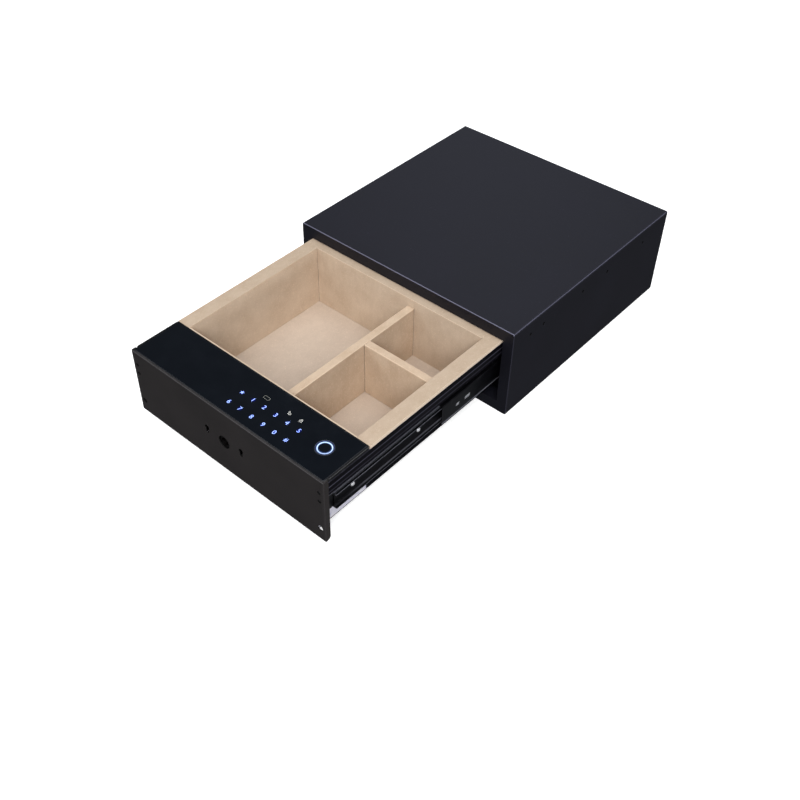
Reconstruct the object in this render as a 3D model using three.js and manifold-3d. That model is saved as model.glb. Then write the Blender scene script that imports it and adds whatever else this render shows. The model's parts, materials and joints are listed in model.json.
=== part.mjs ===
// Under desk drawer safe, drawn with its drawer pulled right out.
// Millimetres, +Z up. The origin is the centre of the casing's underside,
// +X is to the right of someone who faces the drawer and +Y goes to the back.
import * as THREE from 'three';
import Module from 'manifold-3d';
import { mergeVertices } from 'three/addons/utils/BufferGeometryUtils.js';

const wasm = await Module();
wasm.setup();

// Driving sizes.

// Clearances: between pieces that are fixed to each other, and between ones that run.
const seat = 0.3;
const running = 0.3;

// Casing of folded steel.
const casingWidth = 400;
const casingDepth = 400;
const casingHeight = 150;
const casingSheet = 2;
const casingBend = 3;
const borderSide = 17;
const borderTop = 19.4;
const borderBottom = 17.5;
const borderLip = 22;
const lipSheet = 1.5;
const backFlange = 12;

// Row of small fixing holes along each side of the casing.
const sideHoleRadius = 1.6;
const sideHoleDrop = 23.5;
const sideHoleSetbacks = [41, 72, 169.5, 234, 333];

// Drawer pan of folded steel: a lower pan between the slides, a step, and a wider lip above them.
// Each size leaves its clearance in the casing, and the drawer stops just short of coming right out.
const rearSpace = 40;
const travelShort = 12;
const slideBay = 40;
const lipGap = 3;
const floorGap = 6.1;
const rimGap = 1.6;
const lipHeight = 27.5;
const drawerSheet = 1.2;
const drawerDepth = casingDepth - rearSpace;
const travel = drawerDepth - travelShort;
const panHalfWidth = casingWidth / 2 - slideBay;
const lipHalfWidth = casingWidth / 2 - borderSide - lipGap;
const panBottom = borderBottom + floorGap;
const rimTop = casingHeight - borderTop - rimGap;
const stepHeight = rimTop - lipHeight;

// Drawer front: flat plate with folded side flanges.
const frontSheet = 1.5;
const frontGap = 2.6;
const frontBottom = borderBottom + frontGap;
const frontFlange = 8.5;
const frontBend = 1.2;
const flangeCorner = 6;
const edgeHoleRadius = 2.4;
const edgeHoleInset = 8.5;
const edgeHoleDrops = [22.6, 38];
const lowHoleRadius = 3.9;
const lowHoleInset = 9.1;
const lowHoleRise = 20.1;
const lockHoleRadius = 9.8;
const keyholeSpacing = 65;
const keyholeHead = 3.5;
const keyholeSlot = 2.1;
const keyholeDrop = 7.6;

// Electronics bay behind the front, under a glass top.
const bayDepth = 82.1;
const housingSheet = 1.2;
const glassThickness = 3;
const glassCorner = 1.2;
const bezelWidth = 1.2;
const bezelLedge = 7;
const bezelFloor = 3.7;
const bezelProud = 0.2;
const bezelCorner = 2.2;
const skirtCorner = 3;

// Fingerprint reader in the glass.
const readerInset = 39.3;
const readerX = lipHalfWidth - readerInset;
const readerY = 43.3;
const readerRadius = 12.5;
const readerRing = 1.9;
const lightRing = 1.2;
const readerProud = 0.4;
const readerBodyDepth = 11;

// Touch board under the keypad, and the plug of its lead.
const boardThickness = 1.6;
const touchBoardGap = 9.2;
const touchBoardWidth = 151;
const touchBoardFront = 12;
const touchBoardDepth = 56;
const leadPlugWidth = 14;
const leadPlugDepth = 6;
const leadPlugInset = 10;

// Control board, and the parts that are soldered on it.
const controlWidth = 84;
const controlHeight = 56;
const controlInset = 14.8;
const controlDrop = 5.5;
const relayWidth = 18;
const relayHeight = 15;
const relayRise = 12;
const relayInset = 8;
const chipSize = 14;
const chipRise = 2.5;
const chipLeft = 46;
const chipLow = 22;
const socketSize = 10;
const socketRise = 7;
const socketInset = 6;
const capacitorRadius = 5;
const capacitorRise = 13;
const capacitorLeft = 16;
const capacitorLow = 42;

// Lining of covered board.
const wallBoard = 6;
const sideBoard = 1;
const floorBoard = 1.5;
const rimBoard = 4.7;
const frontBoard = 2;
const dividerBoard = 12.2;
const dividerDrop = 13;
const dividerTop = rimTop - dividerDrop;
const mainDividerX = 30.5;
const backRim = 24.9;
const trayEnd = drawerDepth - backRim;
const backCellLength = 100.7;
const crossDividerY = trayEnd - backCellLength;

// Telescopic slides with three members, rolled from strip.
const slideHeight = 45.4;
const middleHeight = 36.4;
const innerHeight = 26;
const slideThickness = 12.7;
const slideSheet = 1.2;
const rollCorner = 1.4;
const flangeFlat = 0.45;
const cageSheet = 0.5;
const slideDrop = 43.5;
const slideCentre = stepHeight - slideDrop;
const slideSetback = 25;
const outerLength = casingDepth - 2 * slideSetback;
const middleSetback = 64;
const middleShorter = 48;
const middleLength = outerLength - middleShorter;
const innerSetback = 33;
const innerShorter = 25;
const innerLength = outerLength - innerShorter;
const tongueSetback = 3;
const tongueHeight = 26;
const zincReach = 14;
const tongueLap = 2;
const outerBallRadius = 1.6;
const innerBallRadius = 1.9;
const ballsPerTrack = 6;
const outerCageLength = 152;
const outerCageEnd = 7;
const innerCageLength = 102;
const innerCageEnd = 11;
const cageTie = 10;
const cageShield = 62;
const cageRail = 3;
const bumperLength = 7;
const bumperInset = 3;
const bracketSheet = 1.5;
const bracketHeight = 64;
const bracketSetback = 27;
const bracketGap = 1;
const bracketLength = casingDepth - bracketSetback - casingSheet - backFlange - bracketGap;

// Screws that hold the inner members to the drawer, and the windows in the middle members.
const screwHeadRadius = 3.3;
const screwHeadHeight = 1.7;
const screwShank = 1.7;
const screwSetbacks = [69, 198, 272, 293.5];
const windowHeight = 7;
const windowLengths = [9, 14];

// Lock: key cylinder, turning plug with a crank pin, and a bolt that drops through the floor.
const lockX = -1.5;
const lockDrop = 55.5;
const lockHeight = rimTop - lockDrop;
const cylinderRadius = 9;
const cylinderFlange = 12;
const cylinderFlangeDepth = 2.5;
const plugRadius = 6;
const plugRecess = 6;
const keySlotWidth = 2;
const keySlotHeight = 8.6;
const keySlotDepth = 16;
const crankPin = 1.5;
const boltThrow = 8.5;
const boltWidth = 22;
const boltDepth = 10;
const boltLift = 0.4;
const boltBottom = panBottom + boltLift;
const boltBlockDrop = 21.5;
const boltBlock = lockHeight - boltBottom - boltBlockDrop;
const boltPlate = 3.5;
const boltClearance = 0.5;
const crankClearance = 0.55;
const caseSide = 4;
const caseFront = 24;
const caseDepth = 34;
const caseWall = 7;
const caseRise = 22.5;
const caseTop = lockHeight + caseRise;
const strikeDrop = 3.6;
const strikeTop = panBottom - strikeDrop;
const strikeSheet = 2;
const strikeFoot = 11;
const strikeWall = 5;
const strikeMargin = 9;
const strikeClearance = 1.5;

// Geared motor beside the lock case.
const gearboxLength = 14;
const gearboxHalf = 9;
const motorRadius = 7.8;
const motorLength = 26;
const motorBossRadius = 2;
const motorBossLength = 3;

// Battery box with four round cells, behind a cover in the lining.
const cellRadius = 7.1;
const cellLength = 50;
const cellPitch = 14.8;
const cellCount = 4;
const cellNub = 1;
const boxWall = 1.5;
const boxInset = 40;
const boxCentreX = boxInset - panHalfWidth;
const boxDrop = 54;
const boxCentreZ = rimTop - boxDrop;
const coverNotch = 7;

// Shapes.

function roundedRectangle(x0, x1, y0, y1, r) {
  const shape = new THREE.Shape();
  shape.moveTo(x0 + r, y0);
  shape.lineTo(x1 - r, y0);
  shape.absarc(x1 - r, y0 + r, r, -Math.PI / 2, 0, false);
  shape.lineTo(x1, y1 - r);
  shape.absarc(x1 - r, y1 - r, r, 0, Math.PI / 2, false);
  shape.lineTo(x0 + r, y1);
  shape.absarc(x0 + r, y1 - r, r, Math.PI / 2, Math.PI, false);
  shape.lineTo(x0, y0 + r);
  shape.absarc(x0 + r, y0 + r, r, Math.PI, Math.PI * 1.5, false);
  return shape;
}

const polygon = (points) => new THREE.Shape(points.map(([a, b]) => new THREE.Vector2(a, b)));

// A strip of sheet along a centre line given as points.
function stripSection(points, thickness) {
  const half = thickness / 2;
  const left = [];
  const right = [];
  points.forEach(([x, y], i) => {
    const before = points[Math.max(i - 1, 0)];
    const after = points[Math.min(i + 1, points.length - 1)];
    const a = new THREE.Vector2(x - before[0], y - before[1]).normalize();
    const b = new THREE.Vector2(after[0] - x, after[1] - y).normalize();
    if (i === 0) a.copy(b);
    if (i === points.length - 1) b.copy(a);
    const normal = new THREE.Vector2(-(a.y + b.y), a.x + b.x).normalize();
    const reach = half / normal.dot(new THREE.Vector2(-a.y, a.x));
    left.push([x + normal.x * reach, y + normal.y * reach]);
    right.push([x - normal.x * reach, y - normal.y * reach]);
  });
  return polygon([...right, ...left.reverse()]);
}

// Points on an arc, for centre lines.
function arcPoints(cx, cy, r, fromDegrees, toDegrees, steps) {
  const points = [];
  for (let i = 0; i <= steps; i += 1) {
    const angle = THREE.MathUtils.degToRad(fromDegrees + ((toDegrees - fromDegrees) * i) / steps);
    points.push([cx + r * Math.cos(angle), cy + r * Math.sin(angle)]);
  }
  return points;
}

// Solids.

function solid(geometry) {
  const bare = geometry.clone();
  bare.deleteAttribute('normal');
  bare.deleteAttribute('uv');
  const merged = mergeVertices(bare, 1e-4);
  return new wasm.Manifold(new wasm.Mesh({
    numProp: 3,
    vertProperties: new Float32Array(merged.attributes.position.array),
    triVerts: new Uint32Array(merged.index.array),
  }));
}

const axes = {
  x: [new THREE.Vector3(0, 1, 0), new THREE.Vector3(0, 0, 1), new THREE.Vector3(1, 0, 0)],
  y: [new THREE.Vector3(1, 0, 0), new THREE.Vector3(0, 0, 1), new THREE.Vector3(0, -1, 0)],
  z: [new THREE.Vector3(1, 0, 0), new THREE.Vector3(0, 1, 0), new THREE.Vector3(0, 0, 1)],
};

// Pushes a flat shape along an axis: (y, z) along x, (x, z) along y or (x, y) along z.
function prism(shape, axis, from, to, curveSegments = 6) {
  const geometry = new THREE.ExtrudeGeometry(shape, {
    depth: to - from,
    bevelEnabled: false,
    curveSegments,
  });
  geometry.applyMatrix4(new THREE.Matrix4().makeBasis(...axes[axis]));
  const shift = axis === 'y' ? to : from;
  geometry.translate(axis === 'x' ? shift : 0, axis === 'y' ? shift : 0, axis === 'z' ? shift : 0);
  return solid(geometry);
}

function block(x0, x1, y0, y1, z0, z1) {
  const geometry = new THREE.BoxGeometry(x1 - x0, y1 - y0, z1 - z0);
  geometry.translate((x0 + x1) / 2, (y0 + y1) / 2, (z0 + z1) / 2);
  return solid(geometry);
}

// A turned piece about an axis through (a, b), from a closed outline of radius and length.
function turned(axis, a, b, outline, segments = 32) {
  const points = outline.map(([r, t]) => new THREE.Vector2(r, t));
  if (outline[0][0] > 0) points.push(points[0].clone());
  const geometry = new THREE.LatheGeometry(points, segments);
  if (axis === 'z') geometry.rotateX(Math.PI / 2).translate(a, b, 0);
  if (axis === 'x') geometry.rotateZ(-Math.PI / 2).translate(0, a, b);
  if (axis === 'y') geometry.translate(a, 0, b);
  return solid(geometry);
}

// A round bar or hole: centre (a, b) in the plane across the axis.
const rod = (axis, a, b, radius, from, to, segments = 24) => turned(axis, a, b, [
  [0, from],
  [radius, from],
  [radius, to],
  [0, to],
], segments);

// A ring with a plain rectangular section.
const ring = (axis, a, b, inner, outer, from, to, segments = 32) => turned(axis, a, b, [
  [inner, from],
  [outer, from],
  [outer, to],
  [inner, to],
], segments);

function ball(x, y, z, radius) {
  const geometry = new THREE.SphereGeometry(radius, 6, 4);
  geometry.rotateX(Math.PI / 2);
  geometry.translate(x, y, z);
  return solid(geometry);
}

const cut = (body, ...tools) => tools.reduce((rest, tool) => rest.subtract(tool), body);
const join = (body, ...more) => more.reduce((sum, next) => sum.add(next), body);

// The same piece for the other hand.
function mirrored(body) {
  const mesh = body.getMesh();
  const vertProperties = new Float32Array(mesh.vertProperties);
  for (let i = 0; i < vertProperties.length; i += mesh.numProp) vertProperties[i] *= -1;
  const triVerts = new Uint32Array(mesh.triVerts);
  for (let i = 0; i < triVerts.length; i += 3) {
    [triVerts[i + 1], triVerts[i + 2]] = [triVerts[i + 2], triVerts[i + 1]];
  }
  return new wasm.Manifold(new wasm.Mesh({ numProp: mesh.numProp, vertProperties, triVerts }));
}

// Materials.

const paint = (color, roughness, metalness) => new THREE.MeshStandardMaterial({ color, roughness, metalness });
const materials = {
  casing: () => paint(0x24252b, 0.5, 0.2),
  front: () => paint(0x2d2a2a, 0.5, 0.2),
  pan: () => paint(0x17171b, 0.45, 0.3),
  slide: () => paint(0x16161a, 0.35, 0.5),
  zinc: () => paint(0xc9c9d6, 0.35, 0.9),
  steel: () => paint(0xb8bac0, 0.25, 1),
  chrome: () => paint(0xe6e8ec, 0.1, 1),
  glass: () => paint(0x14191f, 0.08, 0),
  plastic: () => paint(0x101114, 0.5, 0),
  glow: () => paint(0x9cc4ff, 0.3, 0),
  suede: () => paint(0xcbb59c, 0.95, 0),
  board: () => paint(0x1f5a3a, 0.6, 0),
  cell: () => paint(0x7a7d84, 0.4, 0.4),
  rubber: () => paint(0x151515, 0.9, 0),
  brass: () => paint(0x34343a, 0.4, 0.8),
};

const safe = new THREE.Group();
const drawer = new THREE.Group();
const frontFace = -casingDepth / 2 - travel;
drawer.position.y = frontFace;
safe.add(drawer);

function add(group, name, body, material) {
  const mesh = body.getMesh();
  const geometry = new THREE.BufferGeometry();
  geometry.setAttribute('position', new THREE.BufferAttribute(new Float32Array(mesh.vertProperties), 3));
  geometry.setIndex(new THREE.BufferAttribute(new Uint32Array(mesh.triVerts), 1));
  geometry.computeVertexNormals();
  const node = new THREE.Mesh(geometry, materials[material]());
  node.name = name;
  group.add(node);
}

function addPair(group, name, body, material) {
  add(group, `${name}_right`, body, material);
  add(group, `${name}_left`, mirrored(body), material);
}

// Casing: a wrap with a folded front border and a lip around the opening.

const halfWidth = casingWidth / 2;
const casingFront = -casingDepth / 2;
const casingBack = casingDepth / 2;
const openingHalf = halfWidth - borderSide;
const openingTop = casingHeight - borderTop;

const wrapOutline = roundedRectangle(-halfWidth, halfWidth, 0, casingHeight, casingBend);
const wrapInside = block(
  -halfWidth + casingSheet,
  halfWidth - casingSheet,
  casingFront + casingSheet,
  casingBack + casingSheet,
  casingSheet,
  casingHeight - casingSheet,
);
const opening = block(
  -openingHalf,
  openingHalf,
  casingFront - casingSheet,
  casingFront + borderLip + casingSheet,
  borderBottom,
  openingTop,
);
const openingLip = block(
  -openingHalf - lipSheet,
  openingHalf + lipSheet,
  casingFront + casingSheet / 2,
  casingFront + borderLip,
  borderBottom - lipSheet,
  openingTop + lipSheet,
);
let casing = cut(prism(wrapOutline, 'y', casingFront, casingBack), wrapInside);
casing = cut(join(casing, openingLip), opening);
const sideHoleZ = casingHeight - sideHoleDrop;
for (const setback of sideHoleSetbacks) {
  const y = casingFront + setback;
  casing = cut(casing, rod('x', y, sideHoleZ, sideHoleRadius, -halfWidth - 1, halfWidth + 1, 12));
}
add(safe, 'casing_shell', casing, 'casing');

// Back panel: a shallow pan pushed into the open back of the wrap.

const backHalf = halfWidth - casingSheet - seat;
const backLow = casingSheet + seat;
const backHigh = casingHeight - casingSheet - seat;
const backPanel = cut(
  block(-backHalf, backHalf, casingBack - casingSheet - backFlange, casingBack, backLow, backHigh),
  block(
    -backHalf + casingSheet,
    backHalf - casingSheet,
    casingBack - 2 * casingSheet - backFlange,
    casingBack - casingSheet,
    backLow + casingSheet,
    backHigh - casingSheet,
  ),
);
add(safe, 'back_panel', backPanel, 'casing');

// Slides. A section is drawn in u, from the drawer towards the casing, and w, up from the middle.

const slideInside = panHalfWidth;
const half = slideSheet / 2;
const outerWeb = slideThickness - half;
const cageOuterWeb = slideThickness - slideSheet - running - cageSheet / 2;
const middleWeb = cageOuterWeb - cageSheet / 2 - running - half;
const cageInnerWeb = middleWeb - half - running - cageSheet / 2;
const outerRace = outerBallRadius + running + half;
const innerRace = innerBallRadius + running + half;
const outerBallW = slideHeight / 2 - half - outerRace;
const middleLine = middleHeight / 2 - half;
const innerLine = innerHeight / 2 - half;
const innerBallW = (middleLine + innerLine) / 2;

// Half the width of the dip that a race makes in a flange on a given line.
const dip = (race, distance) => Math.sqrt(Math.max(race * race - distance * distance, 0.01));
const outerDip = dip(outerRace, outerBallW - middleLine);
const innerDip = dip(innerRace, middleLine - innerBallW);
const outerBallU = middleWeb - rollCorner - outerDip - flangeFlat;
const innerBallU = outerBallU - outerDip - innerDip - flangeFlat;
const degrees = (radians) => THREE.MathUtils.radToDeg(radians);

function outerFlange() {
  return [
    ...arcPoints(outerBallU, outerBallW, outerRace, 184, 90, 6),
    ...arcPoints(outerWeb - rollCorner, slideHeight / 2 - half - rollCorner, rollCorner, 90, 0, 3),
  ];
}

function middleFlange() {
  const rise = degrees(Math.asin(innerDip / innerRace));
  const fall = degrees(Math.asin(outerDip / outerRace));
  return [
    [innerBallU - innerBallRadius, middleLine],
    ...arcPoints(innerBallU, innerBallW, innerRace, 90 + rise, 90 - rise, 4),
    ...arcPoints(outerBallU, outerBallW, outerRace, 270 - fall, 270 + fall, 4),
    ...arcPoints(middleWeb - rollCorner, middleLine - rollCorner, rollCorner, 90, 0, 3),
  ];
}

function innerFlange() {
  const fall = degrees(Math.asin(innerDip / innerRace));
  return [
    [cageInnerWeb - cageSheet / 2 - 2 * running, innerLine],
    ...arcPoints(innerBallU, innerBallW, innerRace, 270 + fall, 270 - fall, 4),
    ...arcPoints(half + rollCorner, innerLine - rollCorner, rollCorner, 90, 180, 3),
  ];
}

// Both flanges and the web between them, as one rolled section at a given x.
function rolledMember(flange, sheet, from, to) {
  const lower = flange.map(([u, w]) => [u, -w]).reverse();
  const line = [...flange, ...lower].map(([u, w]) => [slideInside + u, slideCentre + w]);
  return prism(stripSection(line, sheet), 'y', from, to);
}

function ballCage(webU, ballU, ballW, ballRadius, from, to, shield = cageTie) {
  const flangeEnd = ballU - ballRadius + cageSheet;
  const flange = [[flangeEnd, ballW], [webU, ballW]];
  let cage = rolledMember(flange, cageSheet, from, to);
  const window = ballW - cageRail;
  cage = cut(cage, block(
    slideInside + webU - 1,
    slideInside + webU + 1,
    from + shield,
    to - cageTie,
    slideCentre - window,
    slideCentre + window,
  ));
  const pitch = (to - from - 2 * cageTie) / (ballsPerTrack - 1);
  for (let i = 0; i < ballsPerTrack; i += 1) {
    const y = from + cageTie + i * pitch;
    cage = join(
      cage,
      ball(slideInside + ballU, y, slideCentre + ballW, ballRadius),
      ball(slideInside + ballU, y, slideCentre - ballW, ballRadius),
    );
  }
  return cage;
}

// The middle member has run out by half the travel, and each cage lies near the back end of its member.
const middleShift = travel / 2;

const outerFront = casingFront + slideSetback;
addPair(safe, 'slide_outer', rolledMember(outerFlange(), slideSheet, outerFront, outerFront + outerLength), 'slide');

const middleFront = casingFront + middleSetback - middleShift;
let middle = rolledMember(middleFlange(), slideSheet, middleFront, middleFront + middleLength);
windowLengths.forEach((length, i) => {
  const y = frontFace + screwSetbacks[2 + i];
  const x = slideInside + middleWeb;
  middle = cut(middle, prism(
    roundedRectangle(y - length / 2, y + length / 2, slideCentre - windowHeight / 2, slideCentre + windowHeight / 2,
      windowHeight / 2 - 0.1),
    'x', x - slideSheet, x + slideSheet, 4,
  ));
});
addPair(safe, 'slide_middle', middle, 'slide');

const middleBack = middleFront + middleLength;
const outerCageFront = middleBack - outerCageEnd - outerCageLength;
addPair(safe, 'outer_ball_cage', ballCage(
  cageOuterWeb, outerBallU, outerBallW, outerBallRadius, outerCageFront, outerCageFront + outerCageLength,
), 'steel');

const innerBack = frontFace + innerSetback + innerLength;
const innerCageFront = innerBack - innerCageEnd - innerCageLength;
addPair(safe, 'inner_ball_cage', ballCage(
  cageInnerWeb, innerBallU, innerBallW, innerBallRadius, innerCageFront, innerCageFront + innerCageLength, cageShield,
), 'steel');

// Rubber stop in the back end of each outer member.
const stopBack = outerFront + outerLength - 1;
const stopHalf = innerHeight / 2 - bumperInset;
addPair(safe, 'slide_bumper', block(
  slideInside + innerBallU,
  slideInside + slideThickness - slideSheet - seat,
  stopBack - bumperLength,
  stopBack,
  slideCentre - stopHalf,
  slideCentre + stopHalf,
), 'rubber');

// Channel that carries each slide off the casing's side.
const bracketInside = slideInside + slideThickness + seat;
const bracketOutside = halfWidth - casingSheet - seat;
const bracketLow = slideCentre - bracketHeight / 2;
const bracketHigh = slideCentre + bracketHeight / 2;
const bracketFront = casingFront + bracketSetback;
const bracket = cut(
  block(bracketInside, bracketOutside, bracketFront, bracketFront + bracketLength, bracketLow, bracketHigh),
  block(
    bracketInside + bracketSheet,
    bracketOutside + 1,
    bracketFront - 1,
    bracketFront + bracketLength + 1,
    bracketLow + bracketSheet,
    bracketHigh - bracketSheet,
  ),
);
addPair(safe, 'slide_bracket', bracket, 'casing');

// Drawer. From here on y counts from the face of the drawer front.

const panInside = panHalfWidth - drawerSheet;
const lipInside = lipHalfWidth - drawerSheet;
const panTop = rimTop - rimBoard - seat;
const panFloor = panBottom + drawerSheet;
const behindFront = frontSheet + seat;
const lipStart = frontFlange + seat;
const bayBack = bayDepth + seat;

const steppedSection = (low, lowHalf, step, highHalf, high) => polygon([
  [-lowHalf, low],
  [lowHalf, low],
  [lowHalf, step],
  [highHalf, step],
  [highHalf, high],
  [-highHalf, high],
  [-highHalf, step],
  [-lowHalf, step],
]);

const panOutline = steppedSection(panBottom, panHalfWidth, stepHeight, lipHalfWidth, panTop);
const panHollow = steppedSection(panFloor, panInside, stepHeight + drawerSheet, lipInside, panTop + 1);
let pan = cut(
  prism(panOutline, 'y', behindFront, drawerDepth),
  prism(panHollow, 'y', behindFront - 1, drawerDepth - drawerSheet),
  block(-lipHalfWidth - 1, lipHalfWidth + 1, behindFront - 1, bayBack - seat, panFloor, stepHeight),
);
for (const side of [-1, 1]) {
  const sideCut = [side * (panHalfWidth + 1), side * (panInside - seat / 2)].sort((a, b) => a - b);
  pan = cut(pan, block(sideCut[0], sideCut[1], bayDepth - 1, bayDepth + zincReach, panFloor, stepHeight));
  const lipNotch = [side * (lipHalfWidth + 1), side * (panInside - 1)].sort((a, b) => a - b);
  pan = cut(pan, block(lipNotch[0], lipNotch[1], behindFront - 1, lipStart, panFloor, rimTop + 1));
}

// Zinc plated housing: floor, two sides and a back wall that stands up behind the glass.

const housingLow = panFloor + seat;
const housingTop = stepHeight - seat;
const housingInside = panHalfWidth - housingSheet;
const housingBack = bayDepth - seat;
const bezelBottom = rimTop - glassThickness - seat - (bezelFloor - seat);
const wallTop = bezelBottom - seat;
const neckHalf = panInside - seat;
const backWall = polygon([
  [-panHalfWidth, housingLow],
  [panHalfWidth, housingLow],
  [panHalfWidth, housingTop],
  [neckHalf, housingTop],
  [neckHalf, stepHeight + drawerSheet + seat],
  [lipInside - seat, stepHeight + drawerSheet + seat],
  [lipInside - seat, wallTop],
  [-lipInside + seat, wallTop],
  [-lipInside + seat, stepHeight + drawerSheet + seat],
  [-neckHalf, stepHeight + drawerSheet + seat],
  [-neckHalf, housingTop],
  [-panHalfWidth, housingTop],
]);
let housing = join(
  cut(
    block(-panHalfWidth, panHalfWidth, behindFront, housingBack, housingLow, housingTop),
    block(-housingInside, housingInside, behindFront - 1, housingBack + 1, housingLow + housingSheet, housingTop + 1),
  ),
  prism(backWall, 'y', housingBack - housingSheet, housingBack),
);
for (const side of [-1, 1]) {
  const wing = [side * panHalfWidth, side * housingInside].sort((a, b) => a - b);
  housing = join(housing, block(wing[0], wing[1], housingBack - 1, housingBack + zincReach, housingLow, housingTop));
}

// The bolt's way through both floors.

const boltHalf = boltWidth / 2;
const crank = boltThrow / (2 * Math.sin(Math.PI / 4));
const shoulder = caseFront + 10 + seat;
const cavityFront = shoulder + 2.2;
const discDepth = 4;
const discFront = cavityFront + running;
const boltFront = discFront + discDepth + 1;
const boltBack = boltFront + boltDepth;
const boltWay = (gap, low, high) => block(
  lockX - boltHalf - gap,
  lockX + boltHalf + gap,
  boltFront - gap,
  boltBack + gap,
  low,
  high,
);
pan = cut(pan, boltWay(boltClearance, panBottom - 1, panFloor + 1));
housing = cut(housing, boltWay(boltClearance, housingLow - 1, housingLow + housingSheet + 1));

// Screw holes through the drawer's sides, and the inner members that the screws hold. The web of an inner member
// reaches forward to the drawer's front as a flat tongue.

let inner = join(
  rolledMember(innerFlange(), slideSheet, innerSetback, innerSetback + innerLength),
  block(
    slideInside,
    slideInside + slideSheet,
    tongueSetback,
    innerSetback + tongueLap,
    slideCentre - tongueHeight / 2,
    slideCentre + tongueHeight / 2,
  ),
);
for (const y of screwSetbacks) {
  const hole = rod('x', y, slideCentre, screwShank + seat, -lipHalfWidth, lipHalfWidth, 12);
  pan = cut(pan, hole);
  housing = cut(housing, hole);
  inner = cut(inner, hole);
}
add(drawer, 'drawer_pan', pan, 'pan');

// Battery window in the housing's back wall.

const boxInsideHalf = (cellPitch * cellCount) / 2 + 0.4;
const boxInsideHeight = cellLength + cellNub + 3;
const windowLow = boxCentreZ - boxInsideHeight / 2;
const windowHigh = boxCentreZ + boxInsideHeight / 2;
const batteryWindow = (gap, from, to) => block(
  boxCentreX - boxInsideHalf - gap,
  boxCentreX + boxInsideHalf + gap,
  from,
  to,
  windowLow - gap,
  windowHigh + gap,
);
housing = cut(housing, batteryWindow(0, housingBack - housingSheet - 1, housingBack + 1));
add(drawer, 'lock_housing', housing, 'zinc');
addPair(drawer, 'slide_inner', inner, 'slide');

screwSetbacks.forEach((y, i) => {
  const under = slideInside + slideSheet + seat;
  const screw = turned('x', y, slideCentre, [
    [0, slideInside - drawerSheet],
    [screwShank, slideInside - drawerSheet],
    [screwShank, under],
    [screwHeadRadius, under],
    [screwHeadRadius, under + screwHeadHeight * 0.55],
    [screwHeadRadius * 0.62, under + screwHeadHeight],
    [0, under + screwHeadHeight],
  ], 12);
  addPair(drawer, `slide_screw_${i + 1}`, screw, 'chrome');
});

// Drawer front.

const frontHalf = lipHalfWidth;
const frontOutline = polygon([
  [0, frontBottom],
  [frontFlange - flangeCorner, frontBottom],
  ...arcPoints(frontFlange - flangeCorner, frontBottom + flangeCorner, flangeCorner, -72, 0, 4),
  [frontFlange, rimTop - 1.5],
  [frontFlange - 1.5, rimTop],
  [frontBend, rimTop],
  ...arcPoints(frontBend, rimTop - frontBend, frontBend, 108, 180, 3),
]);
const frontCorners = roundedRectangle(-frontHalf, frontHalf, 0, frontFlange * 3, frontBend);
let front = prism(frontOutline, 'x', -frontHalf, frontHalf).intersect(
  prism(frontCorners, 'z', frontBottom - 1, rimTop + 1),
);
front = cut(front, block(
  -frontHalf + frontSheet,
  frontHalf - frontSheet,
  frontSheet,
  frontFlange + 1,
  frontBottom - 1,
  rimTop + 1,
));
for (const side of [-1, 1]) {
  for (const drop of edgeHoleDrops) {
    front = cut(front, rod('y', side * (frontHalf - edgeHoleInset), rimTop - drop, edgeHoleRadius, -1, frontSheet + 1, 16));
  }
  const lowHoleX = side * (frontHalf - lowHoleInset);
  front = cut(front, rod('y', lowHoleX, frontBottom + lowHoleRise, lowHoleRadius, -1, frontSheet + 1, 20));
  const x = lockX + (side * keyholeSpacing) / 2;
  const headZ = lockHeight + keyholeDrop - keyholeHead / 2;
  front = cut(
    front,
    rod('y', x, headZ, keyholeHead, -1, frontSheet + 1, 16),
    rod('y', x, headZ - keyholeDrop, keyholeSlot, -1, frontSheet + 1, 12),
    block(x - keyholeSlot, x + keyholeSlot, -1, frontSheet + 1, headZ - keyholeDrop, headZ),
  );
}
front = cut(front, rod('y', lockX, lockHeight, lockHoleRadius, -1, frontSheet + 1, 32));
add(drawer, 'drawer_front', front, 'front');

// Bezel: a frame with a ledge that the glass lies on, and a skirt that lies over the steel lip.

const bezelHalf = frontHalf - frontSheet - seat;
const bezelFront = behindFront;
const bezelBack = bayDepth;
const bezelTop = rimTop + bezelProud;
const glassBottom = rimTop - glassThickness;
const bezel = cut(
  join(
    prism(roundedRectangle(-bezelHalf, bezelHalf, bezelFront, bezelBack, bezelCorner), 'z', bezelBottom, bezelTop, 5),
    prism(
      roundedRectangle(-lipHalfWidth, lipHalfWidth, lipStart, bezelBack, skirtCorner),
      'z', panTop + seat, bezelTop, 5,
    ),
  ),
  prism(
    roundedRectangle(
      -bezelHalf + bezelWidth,
      bezelHalf - bezelWidth,
      bezelFront + bezelWidth,
      bezelBack - bezelWidth,
      bezelCorner - bezelWidth,
    ),
    'z', glassBottom - seat, bezelTop + 1, 5,
  ),
  block(
    -bezelHalf + bezelLedge,
    bezelHalf - bezelLedge,
    bezelFront + bezelLedge,
    bezelBack - bezelLedge,
    bezelBottom - 1,
    bezelTop,
  ),
);
add(drawer, 'glass_bezel', bezel, 'plastic');

const glassInset = bezelWidth + seat;
const glass = cut(
  prism(
    roundedRectangle(
      -bezelHalf + glassInset,
      bezelHalf - glassInset,
      bezelFront + glassInset,
      bezelBack - glassInset,
      glassCorner,
    ),
    'z', glassBottom, rimTop, 4,
  ),
  rod('z', readerX, readerY, readerRadius + seat, glassBottom - 1, rimTop + 1, 48),
);
add(drawer, 'keypad_glass', glass, 'glass');

// Fingerprint reader: body under the glass, ring, light guide and sensing disc.

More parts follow.
